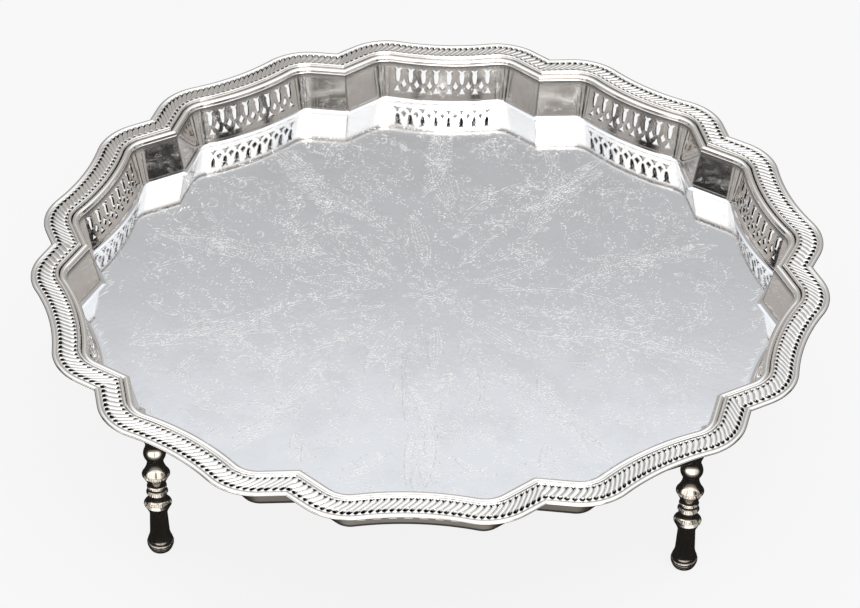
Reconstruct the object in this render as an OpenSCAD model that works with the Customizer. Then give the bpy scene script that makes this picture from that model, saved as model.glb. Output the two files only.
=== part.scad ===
// Silver gallery salver: a ten-lobed pan with a pierced wall and a ribbed border, on four turned legs.
// The origin is on the table, under the middle of the pan. +Z is up. Cusps lie at 0, 36, 72 ... degrees.

/* [Outline] */
// Radius of the rim's outer edge at the middle of a lobe
rim_mid_r = 197; // [170:1:240]
// Radius of the shallow scoop in the middle of each lobe
scoop_r = 116; // [90:1:160]
// Angle of the scoop, each side of the lobe's middle
scoop_half_angle = 12.2; // [9:0.1:14]
// Radius of the rounded shoulder on each side of the scoop
shoulder_r = 31; // [29:0.5:37]
// Direction of the straight flank that runs from shoulder to cusp, from the lobe's middle line
flank_angle = 40.7; // [34:0.1:46]

/* [Heights] */
// Height of the rim's outer edge above the table
stand_height = 118; // [100:1:150]
// Depth of the pan, from the rim's outer edge down to the floor
pan_depth = 24.4; // [18:0.2:32]

/* [Sheet] */
// Thickness of the floor and of the wall
sheet_t = 1.1; // [0.8:0.1:1.6]
// Inside radius of the cove between floor and wall
cove_r = 3; // [2:0.1:4]
// Outward lean of the wall
wall_lean = 11.5; // [4:0.5:16]

/* [Border] */
// Width of the ribbed border, outer edge to inner edge
border_w = 14.2; // [11:0.1:18]
// Radius of the plain roll at the outer edge
roll_r = 1; // [0.7:0.1:1.4]
// Radius of the plain bead at the inner edge
crest_r = 0.8; // [0.6:0.1:1]
// Height of the inner bead's centre above the outer roll's centre
crest_rise = 1.1; // [0.6:0.1:2]
// Depth of the border's inner face below the outer roll's centre
border_drop = 1.7; // [1.2:0.1:2]

/* [Moulding] */
// Radius of the round moulding inside the border
moulding_r = 1.9; // [1.5:0.1:2.4]
// Depth of the moulding's centre below the outer roll's centre
moulding_drop = 1.2; // [0.8:0.1:1.6]
// Depth of the joint between moulding and wall below the outer roll's centre
wall_top_drop = 2.3; // [2:0.1:2.6]

/* [Piercing] */
// Number of pins in each panel
pins = 8; // [5:1:9]
// Distance from pin to pin along the wall
pin_pitch = 7.2; // [6.4:0.1:8]
// Height of a pin
pin_h = 9.2; // [7:0.1:9.6]
// Width of a pin's forked head
pin_head_w = 4.4; // [3.6:0.1:5]
// Height of a kite between two pins
kite_h = 5.6; // [4:0.1:6]
// Width of a kite
kite_w = 3.3; // [2.4:0.1:3.8]
// Height of a bell under a pin
bell_h = 3.8; // [3:0.1:4.4]
// Width of a bell's foot
bell_w = 4.4; // [3.6:0.1:5]
// Height of the pierced band as drawn, which is fitted between the plain bands above and below it
pattern_h = 14.7; // [14:0.1:16]
// Plain band above the pins, along the wall
pattern_top_gap = 2.6; // [2:0.1:4]
// Plain band under the bells, along the wall, cove included
pattern_foot_gap = 5.25; // [4.6:0.05:6]

/* [Legs] */
// Distance of a leg's axis inside the cusp of the pan's base
leg_inset = 7.6; // [6.6:0.1:12]
// Radius of a leg's top collar
leg_top_r = 6.4; // [5.6:0.1:8]
// Radius of the boss soldered under the floor
boss_r = 6.4; // [5.6:0.1:10]
// Thickness of the boss
boss_t = 3; // [2:0.1:5]
// Thickness of the washer
washer_t = 0.8; // [0.5:0.1:1.5]
// Radius of the washer
washer_r = 5.6; // [4.6:0.1:7]
// Radius of the stud over its thread
stud_r = 3; // [2.5:0.5:4]
// Length of thread that stands below the boss
stud_reach = 10; // [8:0.5:14]
// Radial clearance between stud and leg
stud_clearance = 0.06; // [0.03:0.01:0.1]
// Radial clearance between stud and washer
washer_clearance = 0.08; // [0.03:0.01:0.1]
// Gap left on each side of the washer
seat_gap = 0.05; // [0.03:0.01:0.1]
// Radius of the foot knob
foot_r = 6.85; // [6:0.05:9]
// Radius of the two balusters
baluster_r = 7.1; // [6:0.1:9]

/* [Hidden] */
lobes = 10;
lobe_angle = 360 / lobes;
leg_cusps = [1, 4, 6, 9];
legs = len(leg_cusps);
arc_faces = 96;
shoulder_steps = 6;
scoop_steps = 4;
cove_steps = 4;

// Heights
rim_z = stand_height;
floor_z = rim_z - pan_depth;
under_z = floor_z - sheet_t;
wall_top_z = rim_z - wall_top_drop;
boss_z = under_z - boss_t;
washer_top_z = boss_z - seat_gap;
leg_top_z = washer_top_z - washer_t - seat_gap;

// Places in a section through the border and wall: x is the distance in from the outer edge, y the height
moulding_x = border_w + moulding_r + 0.1;
wall_top_x = moulding_x + moulding_r * 0.85;
wall_foot_x = wall_top_x + (wall_top_z - floor_z) * tan(wall_lean);
cove_x = wall_foot_x + cove_r * tan((90 - wall_lean) / 2);
cove_y = floor_z + cove_r;
base_x = cove_x - (cove_r + sheet_t);

// Places in the plan of one lobe, whose middle lies along +X
scoop_x = rim_mid_r + scoop_r;
shoulder = [
    scoop_x - (scoop_r + shoulder_r) * cos(scoop_half_angle),
    (scoop_r + shoulder_r) * sin(scoop_half_angle)
];
flank_normal = [cos(flank_angle), sin(flank_angle)];

// Radius of the cusp of the outline that lies inset mm inside the rim's outer edge
function cusp_r(inset) =
    (shoulder * flank_normal + shoulder_r - inset) / cos(flank_angle - lobe_angle / 2);

leg_circle_r = cusp_r(base_x) - leg_inset;

// ---- Outline and sweep of one lobe ----

function polar(r, a) = r * [cos(a), sin(a)];
function flip(p) = [p.x, -p.y];
function turned(p, a) = [p.x * cos(a) - p.y * sin(a), p.x * sin(a) + p.y * cos(a)];

// Half of a lobe's outline, cusp to middle, that lies inset mm inside the rim's outer edge
function half_outline(inset) = concat(
    [polar(cusp_r(inset), lobe_angle / 2)],
    [for (i = [0 : shoulder_steps])
        shoulder + polar(shoulder_r - inset,
            flank_angle - (flank_angle + scoop_half_angle) * i / shoulder_steps)],
    [for (i = [1 : scoop_steps])
        [scoop_x, 0] - flip(polar(scoop_r + inset, scoop_half_angle * (1 - i / scoop_steps)))]
);

// A whole lobe's outline, from its right-hand cusp to its left-hand one
function lobe_outline(inset) =
    let (half = half_outline(inset), n = len(half))
    concat([for (p = half) flip(p)], [for (i = [n - 2 : -1 : 0]) half[i]]);

// The outline of all the lobes as one ring at height z, without the doubled cusps
function full_ring(inset, z) =
    let (lobe = lobe_outline(inset))
    [for (k = [1 : lobes], i = [0 : len(lobe) - 2])
        let (p = turned(lobe[i], lobe_angle * (k - 0.5))) [p.x, p.y, z]];

// Sweeps a section along one lobe, with flat mitred ends in the planes through both cusps. The section's
// points are [distance in from the outer edge, height] anticlockwise, all in sight of the first one.
module lobe_sweep(section) {
    rows = [for (s = section) [for (p = lobe_outline(s.x)) [p.x, p.y, s.y]]];
    m = len(section);
    n = len(rows[0]);
    polyhedron(
        points = [for (row = rows, p = row) p],
        faces = concat(
            [for (j = [0 : m - 1], i = [0 : n - 2])
                let (next = (j + 1) % m) [j * n + i, j * n + i + 1, next * n + i + 1, next * n + i]],
            [[for (j = [0 : m - 1]) j * n]],
            [[for (j = [m : -1 : 1]) (j % m) * n + n - 1]]
        )
    );
}

// Turns one lobe's piece, drawn along +X, to the place of lobe k
module at_lobe(k) {
    rotate([0, 0, lobe_angle * (k - 0.5)]) children();
}

// ---- Floor ----

// Points round the cove at radius r, from the flat floor up to the foot of the wall
function cove_arc(r) =
    [for (i = [0 : cove_steps]) [cove_x, cove_y] + polar(r, 270 - (90 - wall_lean) * i / cove_steps)];

// Flat floor and coved edge as one sheet: rings out along its top, over the edge and back underneath
module floor_plate() color("gainsboro") {
    under = cove_arc(cove_r + sheet_t);
    section = concat(cove_arc(cove_r), [for (i = [cove_steps : -1 : 0]) under[i]]);
    rings = [for (s = section) full_ring(s.x, s.y)];
    m = len(rings);
    n = len(rings[0]);
    top = m * n;
    bottom = top + 1;
    polyhedron(
        points = concat([for (ring = rings, p = ring) p], [[0, 0, floor_z], [0, 0, under_z]]),
        faces = concat(
            [for (i = [0 : n - 1]) [top, (i + 1) % n, i]],
            [for (j = [0 : m - 2], i = [0 : n - 1])
                let (k = (i + 1) % n) [j * n + i, j * n + k, (j + 1) * n + k, (j + 1) * n + i]],
            [for (i = [0 : n - 1]) [bottom, (m - 1) * n + i, (m - 1) * n + (i + 1) % n]]
        )
    );
}

// ---- Wall ----

// Leaning wall, square to the sheet at its foot and level at its top
foot_line = [cos(wall_lean), sin(wall_lean)];
wall_section = [
    [cove_x, cove_y] - cove_r * foot_line,
    [wall_top_x, wall_top_z],
    [wall_top_x - sheet_t / cos(wall_lean), wall_top_z],
    [cove_x, cove_y] - (cove_r + sheet_t) * foot_line
];

// Pin with a forked head, point down, its top edge at height 0
module pin_hole() {
    w = pin_head_w / 2;
    half = [
        [w * 0.30, -pin_h * 0.03],
        [w * 0.85, 0],
        [w, -pin_h * 0.08],
        [w * 0.55, -pin_h * 0.22],
        [w * 0.66, -pin_h * 0.40],
        [w * 0.40, -pin_h * 0.92],
        [w * 0.20, -pin_h]
    ];
    polygon(concat(half, [for (i = [len(half) - 1 : -1 : 0]) [-half[i].x, half[i].y]]));
}

// Kite with a long upper point, its lower point at height 0
module kite_hole() {
    w = kite_w / 2;
    polygon([[0, 0], [w, kite_h * 0.40], [w * 0.35, kite_h * 0.76], [0, kite_h],
        [-w * 0.35, kite_h * 0.76], [-w, kite_h * 0.40]]);
}

// Bell with hollow sides, its foot at height 0
module bell_hole() {
    w = bell_w / 2;
    polygon([[-w, 0], [w, 0], [w * 0.42, bell_h * 0.45], [w * 0.12, bell_h],
        [-w * 0.12, bell_h], [-w * 0.42, bell_h * 0.45]]);
}

// Lengths of half the scoop and of one shoulder, along the wall's top edge
scoop_run = (scoop_r + wall_top_x) * scoop_half_angle * PI / 180;
shoulder_run = (shoulder_r - wall_top_x) * (flank_angle + scoop_half_angle) * PI / 180;

// Height of the pierced band on this wall, as a share of its height as drawn
wall_slant = (wall_top_z - floor_z) / cos(wall_lean);
pattern_fit = (wall_slant - pattern_top_gap - pattern_foot_gap) / pattern_h;

// Spot on the foot of the wall past mm from the lobe's middle: x, y and the direction that the wall faces
function wall_spot(past) =
    past <= scoop_run ?
        let (a = past / (scoop_r + wall_top_x) * 180 / PI)
        concat([scoop_x, 0] - flip(polar(scoop_r + wall_foot_x, a)), -a)
    : past <= scoop_run + shoulder_run ?
        let (a = (past - scoop_run) / (shoulder_r - wall_top_x) * 180 / PI - scoop_half_angle)
        concat(shoulder + polar(shoulder_r - wall_foot_x, a), a)
    :
        concat(shoulder + polar(shoulder_r - wall_foot_x, flank_angle)
            + polar(past - scoop_run - shoulder_run, flank_angle + 90), flank_angle);

// Sets a hole's outline into the wall, along mm from the lobe's middle, its base up mm above the pattern's foot
module through_wall(along, up) {
    spot = wall_spot(abs(along));
    side = along < 0 ? -1 : 1;
    translate([spot.x, side * spot.y, floor_z]) rotate([0, 0, side * spot.z]) rotate([0, wall_lean, 0])
        translate([0, 0, pattern_foot_gap]) rotate([90, 0, 90])
            linear_extrude(4 * sheet_t, center = true) scale([1, pattern_fit]) translate([0, up]) children();
}

module panel_piercing() {
    for (i = [0 : pins - 1]) {
        along = (i - (pins - 1) / 2) * pin_pitch;
        through_wall(along, pattern_h) pin_hole();
        through_wall(along, 0) bell_hole();
    }
    for (i = [1 : pins - 1])
        through_wall((i - pins / 2) * pin_pitch, bell_h * 0.65) kite_hole();
}

module gallery_panel(k) color("lightgray") at_lobe(k) difference() {
    lobe_sweep(wall_section);
    panel_piercing();
}

// ---- Border and moulding ----

// Points on an arc from one angle to another
function arc(centre, r, from, to, steps) =
    [for (i = [0 : steps]) centre + polar(r, from + (to - from) * i / steps)];

// Border: outer roll, sloping band, inner bead, and the inner face that the moulding joins
border_section = concat(
    [[border_w, rim_z - border_drop]],
    arc([border_w - crest_r, rim_z + crest_rise], crest_r, 0, 160, 5),
    arc([roll_r, rim_z], roll_r, 80, 260, 6)
);

module rim_section(k) color("silver") at_lobe(k) lobe_sweep(border_section);

// Round moulding, flat where it meets the border and where it stands on the wall
moulding_y = rim_z - moulding_drop;
moulding_foot_angle = asin((wall_top_z - moulding_y) / moulding_r);
moulding_section = concat(
    [[border_w, wall_top_z]],
    arc([moulding_x, moulding_y], moulding_r, moulding_foot_angle, 160, 8),
    [[border_w, moulding_y + moulding_r * sin(160) - 0.3]]
);

module rim_moulding(k) color("whitesmoke") at_lobe(k) lobe_sweep(moulding_section);

// ---- Legs ----

// Moves a leg's piece from the origin's axis to leg n
module at_leg(n) {
    rotate([0, 0, lobe_angle * leg_cusps[n - 1]]) translate([leg_circle_r, 0, 0]) children();
}

module leg_boss(n) color("peru") at_leg(n) translate([0, 0, boss_z]) difference() {
    cylinder(r = boss_r, h = boss_t, $fn = arc_faces);
    translate([0, 0, -1]) cylinder(r = stud_r, h = boss_t + 2, $fn = arc_faces);
}

module leg_stud(n) color("slategray") at_leg(n) translate([0, 0, boss_z - stud_reach]) {
    chamfer = stud_r / 5;
    cylinder(r1 = stud_r - chamfer, r2 = stud_r, h = chamfer, $fn = arc_faces);
    translate([0, 0, chamfer]) cylinder(r = stud_r, h = stud_reach + boss_t - chamfer, $fn = arc_faces);
}

module leg_washer(n) color("darkgray") at_leg(n) translate([0, 0, washer_top_z - washer_t]) difference() {
    cylinder(r = washer_r, h = washer_t, $fn = arc_faces);
    translate([0, 0, -1]) cylinder(r = stud_r + washer_clearance, h = washer_t + 2, $fn = arc_faces);
}

// The plain collar and neck at the top of a leg, and the least wall left round the stud's bore
collar_h = 9.2;
bore_wall = 1;

// Turned outline of a leg from the table up: height as drawn, radius. Stretches between them ease in and out.
ball_r = baluster_r * 0.81;
neck_r = max(baluster_r * 0.63, stud_r + stud_clearance + bore_wall);
leg_stations = [
    [0, foot_r * 0.78],
    [4, foot_r],
    [7.6, foot_r * 0.86],
    [12, neck_r * 1.12],
    [24.3, neck_r],
    [30.8, baluster_r],
    [33.6, baluster_r * 0.88],
    [34.1, neck_r],
    [35.4, neck_r],
    [38.3, baluster_r * 0.78],
    [41.3, neck_r * 0.96],
    [45.4, neck_r * 0.98],
    [50.0, baluster_r],
    [58.4, neck_r],
    [63.8, ball_r],
    [69.6, neck_r * 0.98],
    [76.4, baluster_r * 0.93],
    [77.6, baluster_r * 0.93],
    [79.4, neck_r * 1.08]
];
ease_steps = 6;
ease_top = leg_stations[len(leg_stations) - 1];

// The outline stretches with the leg, so that the collar always meets the washer
leg_stretch = (leg_top_z - collar_h) / ease_top.x;

function ease(a, b, t) =
    [(a.x + (b.x - a.x) * t) * leg_stretch, a.y + (b.y - a.y) * (1 - cos(180 * t)) / 2];

leg_outline = concat(
    [for (i = [0 : len(leg_stations) - 2], s = [0 : ease_steps - 1])
        ease(leg_stations[i], leg_stations[i + 1], s / ease_steps)],
    [[leg_top_z - collar_h, ease_top.y]]
);

module leg(n) color("dimgray") at_leg(n) difference() {
    rotate_extrude($fn = arc_faces) polygon(concat(
        [[0, 0]],
        [for (p = leg_outline) [p.y, p.x]],
        [[ease_top.y, leg_top_z - 3.4], [leg_top_r, leg_top_z - 1.8], [leg_top_r, leg_top_z], [0, leg_top_z]]
    ));
    translate([0, 0, leg_top_z - stud_reach])
        cylinder(r = stud_r + stud_clearance, h = stud_reach + 1, $fn = arc_faces);
}

// ---- Assembly ----

floor_plate();
for (k = [1 : lobes]) {
    gallery_panel(k);
    rim_section(k);
    rim_moulding(k);
}
for (n = [1 : legs]) {
    leg_boss(n);
    leg_stud(n);
    leg_washer(n);
    leg(n);
}
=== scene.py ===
"""Looks for the silver gallery salver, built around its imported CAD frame.

The salver is a ten-lobed pan with a pierced wall and a ribbed border, and it
stands on four turned legs that unscrew. Every shape is worked out here in
millimetres above the table, from the part's sizes where it has them, and is put
down in metres.
"""

from __future__ import annotations

import logging
import math
import random
from dataclasses import dataclass, field
from enum import Enum
from typing import Iterable, Sequence

import bpy
import numpy as np
from mathutils import Matrix, Vector
from mathutils.geometry import delaunay_2d_cdt

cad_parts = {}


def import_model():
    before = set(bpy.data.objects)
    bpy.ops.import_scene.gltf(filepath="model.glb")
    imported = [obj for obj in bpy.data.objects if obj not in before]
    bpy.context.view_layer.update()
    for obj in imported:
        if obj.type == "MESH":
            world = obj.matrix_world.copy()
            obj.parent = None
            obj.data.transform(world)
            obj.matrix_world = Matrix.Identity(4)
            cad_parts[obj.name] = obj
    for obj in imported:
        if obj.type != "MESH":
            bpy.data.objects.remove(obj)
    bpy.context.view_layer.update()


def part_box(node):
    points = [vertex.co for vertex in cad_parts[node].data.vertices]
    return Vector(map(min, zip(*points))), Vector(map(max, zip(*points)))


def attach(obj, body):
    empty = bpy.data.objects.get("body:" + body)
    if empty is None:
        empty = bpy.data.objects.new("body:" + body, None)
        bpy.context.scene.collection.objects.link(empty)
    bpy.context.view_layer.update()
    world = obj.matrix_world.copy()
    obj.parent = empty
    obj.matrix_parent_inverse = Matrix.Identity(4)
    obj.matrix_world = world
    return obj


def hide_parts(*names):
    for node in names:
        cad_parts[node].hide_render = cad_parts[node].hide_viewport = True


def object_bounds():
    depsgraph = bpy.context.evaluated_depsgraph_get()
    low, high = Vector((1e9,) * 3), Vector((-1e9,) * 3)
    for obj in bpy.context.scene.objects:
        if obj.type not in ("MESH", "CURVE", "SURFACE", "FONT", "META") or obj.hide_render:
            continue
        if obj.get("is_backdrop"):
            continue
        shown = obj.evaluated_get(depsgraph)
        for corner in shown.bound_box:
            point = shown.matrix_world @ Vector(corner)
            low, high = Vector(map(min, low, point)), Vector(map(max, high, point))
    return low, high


LOG = logging.getLogger("salver")
MM = 0.001
TRAY = "tray"

Point = tuple[float, float]
Triple = tuple[float, float, float]
Colour = tuple[float, float, float]
Stops = tuple[tuple[float, Colour], ...]


class Slot(Enum):
    """Material slots of the record."""

    CHASED = "chased_silver"
    WALL = "wall_silver"
    BORDER = "border_silver"
    LEG = "leg_silver"
    BRASS = "brass"
    STEEL = "steel"


# ---------------------------------------------------------------- nodes


FLOAT_SOCKET, COLOUR_SOCKET = "NodeSocketFloat", "NodeSocketColor"
MIX_FACTOR, MIX_COLOUR_A, MIX_COLOUR_B, MIX_COLOUR_OUT = 0, 6, 7, 2


@dataclass
class NodeBench:
    """Adds and links nodes in one node tree."""

    tree: bpy.types.NodeTree

    @classmethod
    def fresh(cls, owner: bpy.types.Material | bpy.types.World) -> NodeBench:
        """Empties the node tree of a material or world.

        Args:
            owner: The material or world.

        Returns:
            A bench on its empty tree.
        """
        owner.use_nodes = True
        owner.node_tree.nodes.clear()
        return cls(owner.node_tree)

    def add(self, kind: str, **sockets: object) -> bpy.types.Node:
        """Adds a node.

        Args:
            kind: The node's type name.
            sockets: Properties of the node by name, or input sockets by name with
                underscores for spaces. An output socket as a value is linked.

        Returns:
            The new node.
        """
        node = self.tree.nodes.new(kind)
        for key, value in sockets.items():
            if hasattr(node, key) and key not in node.inputs:
                setattr(node, key, value)
            else:
                self.put(node, key.replace("_", " "), value)
        return node

    def put(self, node: bpy.types.Node, name: str | int, value: object) -> None:
        """Sets or links one input of a node.

        Args:
            node: The node.
            name: The input's name or number.
            value: A number or colour, or an output socket to link.
        """
        socket = node.inputs[name]
        if isinstance(value, bpy.types.NodeSocket):
            self.tree.links.new(value, socket)
        else:
            socket.default_value = value

    def math(self, operation: str, *values: object, clamp: bool = False) -> bpy.types.NodeSocket:
        """Adds a Math node.

        Args:
            operation: The operation's name.
            values: Numbers or output sockets, in order.
            clamp: Keeps the result from 0 to 1.

        Returns:
            The node's output.
        """
        node = self.tree.nodes.new("ShaderNodeMath")
        node.operation = operation
        node.use_clamp = clamp
        for i, value in enumerate(values):
            self.put(node, i, value)
        return node.outputs[0]

    def remap(self, value: object, low: float, high: float, to_low: object = 0.0,
              to_high: object = 1.0, smooth: bool = True) -> bpy.types.NodeSocket:
        """Maps a value from one range to another and holds it there.

        Args:
            value: The output socket to map.
            low: Start of the range that is read.
            high: End of the range that is read.
            to_low: Start of the range that is put out.
            to_high: End of the range that is put out.
            smooth: Eases at both ends.

        Returns:
            The mapped value.
        """
        node = self.tree.nodes.new("ShaderNodeMapRange")
        node.interpolation_type = "SMOOTHSTEP" if smooth else "LINEAR"
        for name, v in (("Value", value), ("From Min", low), ("From Max", high),
                        ("To Min", to_low), ("To Max", to_high)):
            self.put(node, name, v)
        return node.outputs["Result"]

    def greatest(self, values: Sequence[bpy.types.NodeSocket]) -> bpy.types.NodeSocket:
        """Returns the greatest of several values."""
        found = values[0]
        for value in values[1:]:
            found = self.math("MAXIMUM", found, value)
        return found

    def blend(self, factor: object, a: object, b: object) -> bpy.types.NodeSocket:
        """Mixes two colours.

        Args:
            factor: Share of the second colour, a number or an output socket.
            a: First colour.
            b: Second colour.

        Returns:
            The mixed colour.
        """
        node = self.tree.nodes.new("ShaderNodeMix")
        node.data_type = "RGBA"
        for i, value in ((MIX_FACTOR, factor), (MIX_COLOUR_A, a), (MIX_COLOUR_B, b)):
            self.put(node, i, value)
        return node.outputs[MIX_COLOUR_OUT]

    def ramp(self, value: object, stops: Stops) -> bpy.types.NodeSocket:
        """Adds a colour ramp that eases between its stops.

        Args:
            value: The output socket that it reads.
            stops: Places from 0 to 1 and their colours.

        Returns:
            The ramp's colour.
        """
        node = self.tree.nodes.new("ShaderNodeValToRGB")
        node.color_ramp.interpolation = "EASE"
        elements = node.color_ramp.elements
        while len(elements) < len(stops):
            elements.new(0.5)
        for element, (place, colour) in zip(elements, stops):
            element.position = place
            element.color = (*colour, 1.0)
        self.put(node, "Fac", value)
        return node.outputs["Color"]

    def mix(self, factor: object, a: bpy.types.Node, b: bpy.types.Node) -> bpy.types.Node:
        """Mixes two shaders.

        Args:
            factor: Share of the second shader, a number or an output socket.
            a: Node of the first shader.
            b: Node of the second shader.

        Returns:
            The node that mixes them.
        """
        node = self.add("ShaderNodeMixShader", Fac=factor)
        self.put(node, 1, a.outputs[0])
        self.put(node, 2, b.outputs[0])
        return node

    def by_ray(self, plain: bpy.types.Node, mirrored: bpy.types.Node) -> bpy.types.Node:
        """Shows one shader to reflections and another to all else.

        Args:
            plain: Node of the shader that the camera and soft light see.
            mirrored: Node of the shader that polished metal mirrors.

        Returns:
            The node that chooses between them.
        """
        glossy = self.add("ShaderNodeLightPath").outputs["Is Glossy Ray"]
        return self.mix(glossy, plain, mirrored)


def grey(value: float, warmth: float = 0.0) -> Colour:
    """Returns a linear grey, warmer above zero warmth and bluer below it."""
    return (value * (1.0 + warmth), value, value * (1.0 - warmth))


def new_group(name: str, given: dict[str, object], made: dict[str, str]) -> tuple[
        NodeBench, bpy.types.NodeOutputs, bpy.types.Node]:
    """Starts a node group with its sockets.

    Args:
        name: The group's name.
        given: Its inputs by name, each with the value that it starts with.
        made: Its outputs by name, each with its socket type.

    Returns:
        A bench on its tree, what its inputs give, and the node that takes its outputs.
    """
    tree = bpy.data.node_groups.new(name, "ShaderNodeTree")
    for socket_name, value in given.items():
        kind = FLOAT_SOCKET if isinstance(value, float) else COLOUR_SOCKET
        socket = tree.interface.new_socket(socket_name, in_out="INPUT", socket_type=kind)
        socket.default_value = value
    for socket_name, kind in made.items():
        tree.interface.new_socket(socket_name, in_out="OUTPUT", socket_type=kind)
    inputs = tree.nodes.new("NodeGroupInput").outputs
    return NodeBench(tree), inputs, tree.nodes.new("NodeGroupOutput")


@dataclass(frozen=True)
class WearAndShadeGroup:
    """Shared node group: hairline scratches, cloudy tarnish, and painted shade from per-point values.
    """

    name: str = "silver_wear_and_shade"
    hairs: tuple[Point, ...] = ((0.4, 14.0), (1.7, 22.0), (2.6, 9.0))

    def build(self) -> bpy.types.NodeTree:
        """Makes the group once.

        Returns:
            The group, with its colour, roughness and height outputs.
        """
        found = bpy.data.node_groups.get(self.name)
        if found:
            return found
        bench, given, put_out = new_group(self.name, {
            "Metal": (0.9, 0.9, 0.9, 1), "Tarnish And Shade": (0.3, 0.25, 0.2, 1), "Painted Shade": 0.0,
            "Cloud Scale": 60.0, "Cloud Amount": 0.2, "Scratch Scale": 900.0,
            "Scratch Amount": 0.4, "Smoothest": 0.06, "Roughest": 0.22,
        }, {"Color": COLOUR_SOCKET, "Roughness": FLOAT_SOCKET, "Height": FLOAT_SOCKET})
        place = bench.add("ShaderNodeTexCoord").outputs["Object"]
        cloud = bench.add("ShaderNodeTexNoise", Vector=place, Scale=given["Cloud Scale"],
                          Detail=5.0, Roughness=0.6).outputs["Fac"]
        cloudy = bench.math("MULTIPLY", bench.remap(cloud, 0.42, 0.68), given["Cloud Amount"])
        lines = []
        for turn, squeeze in self.hairs:
            drawn_out = bench.add("ShaderNodeMapping", Vector=place, Rotation=(0.3, 0.2, turn),
                                  Scale=(squeeze, 1.0, 1.0)).outputs[0]
            scale = bench.math("DIVIDE", given["Scratch Scale"], squeeze)
            hair = bench.add("ShaderNodeTexNoise", Vector=drawn_out, Detail=2.0,
                             Scale=scale).outputs["Fac"]
            lines.append(bench.remap(hair, 0.60, 0.72))
        scratch = bench.math("MULTIPLY", bench.greatest(lines), given["Scratch Amount"])
        # Painted shade from the per-point values and the cloudy tarnish both darken the metal towards
        # its second colour.
        hollow = bench.math("MAXIMUM", given["Painted Shade"], cloudy, clamp=True)
        colour = bench.blend(hollow, given["Metal"], given["Tarnish And Shade"])
        rough = bench.remap(bench.math("ADD", scratch, bench.math("MULTIPLY", cloud, 0.6)),
                            0.2, 1.0, given["Smoothest"], given["Roughest"])
        rough = bench.math("ADD", rough, bench.math("MULTIPLY", hollow, 0.25), clamp=True)
        bench.put(put_out, "Color", colour)
        bench.put(put_out, "Roughness", rough)
        bench.put(put_out, "Height", bench.math("MULTIPLY", scratch, -1.0))
        return bench.tree


@dataclass(frozen=True)
class RippleGroup:
    """Shared node group: the slow waves that hammering and polishing leave in a sheet."""

    name: str = "sheet_ripple"

    def build(self) -> bpy.types.NodeTree:
        """Makes the group once.

        Returns:
            The group, with its height output.
        """
        found = bpy.data.node_groups.get(self.name)
        if found:
            return found
        bench, given, put_out = new_group(
            self.name, {"Wave Scale": 20.0, "Fine Scale": 300.0, "Fine Amount": 0.2},
            {"Height": FLOAT_SOCKET})
        place = bench.add("ShaderNodeTexCoord").outputs["Object"]
        wave = bench.add("ShaderNodeTexNoise", Vector=place, Scale=given["Wave Scale"],
                         Detail=1.5).outputs["Fac"]
        fine = bench.add("ShaderNodeTexNoise", Vector=place, Scale=given["Fine Scale"],
                         Detail=2.0).outputs["Fac"]
        bench.put(put_out, "Height", bench.math(
            "ADD", wave, bench.math("MULTIPLY", fine, given["Fine Amount"])))
        return bench.tree


@dataclass(frozen=True)
class MetalFinish:
    """One metal finish and everything that tells it from the others."""

    name: str
    metal: Colour
    tarnish_and_shade: Colour
    smoothest: float
    roughest: float
    cloud_scale: float = 45.0
    cloud_amount: float = 0.15
    scratch_scale: float = 900.0
    scratch_amount: float = 0.4
    scratch_depth: float = 0.00001
    wave_scale: float = 20.0
    wave_depth: float = 0.0
    fine_amount: float = 0.2
    anisotropy: float = 0.0

    def build(self) -> bpy.types.Material:
        """Makes the material.

        Returns:
            The material, ready to be given to a mesh.
        """
        found = bpy.data.materials.get(self.name)
        if found:
            return found
        material = bpy.data.materials.new(self.name)
        bench = NodeBench.fresh(material)
        out = bench.add("ShaderNodeOutputMaterial")
        shader = bench.add("ShaderNodeBsdfPrincipled")
        shader.inputs["Metallic"].default_value = 1.0
        shader.inputs["Anisotropic"].default_value = self.anisotropy
        # Per-point painted shade, put in grooves, pits, creases and bores when the pieces are made.
        hollow = bench.add("ShaderNodeAttribute", attribute_name="hollow").outputs["Fac"]
        wear_and_shade = bench.add("ShaderNodeGroup", node_tree=WearAndShadeGroup().build())
        for name, value in (
            ("Metal", (*self.metal, 1)), ("Tarnish And Shade", (*self.tarnish_and_shade, 1)), ("Painted Shade", hollow),
            ("Cloud Scale", self.cloud_scale), ("Cloud Amount", self.cloud_amount),
            ("Scratch Scale", self.scratch_scale), ("Scratch Amount", self.scratch_amount),
            ("Smoothest", self.smoothest), ("Roughest", self.roughest),
        ):
            bench.put(wear_and_shade, name, value)
        bench.put(shader, "Base Color", wear_and_shade.outputs["Color"])
        bench.put(shader, "Roughness", wear_and_shade.outputs["Roughness"])
        normal = bench.add("ShaderNodeBump", Strength=1.0, Distance=self.scratch_depth,
                           Height=wear_and_shade.outputs["Height"]).outputs["Normal"]
        if self.wave_depth:
            ripple = bench.add("ShaderNodeGroup", node_tree=RippleGroup().build())
            bench.put(ripple, "Wave Scale", self.wave_scale)
            bench.put(ripple, "Fine Amount", self.fine_amount)
            normal = bench.add("ShaderNodeBump", Strength=1.0, Distance=self.wave_depth,
                               Height=ripple.outputs["Height"], Normal=normal).outputs["Normal"]
        bench.put(shader, "Normal", normal)
        bench.put(out, "Surface", shader.outputs[0])
        return material


# Each finish's second colour serves its cloudy tarnish and also the painted shade put in grooves,
# creases and under mouldings; on the border, moulding and legs it is near black.
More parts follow.
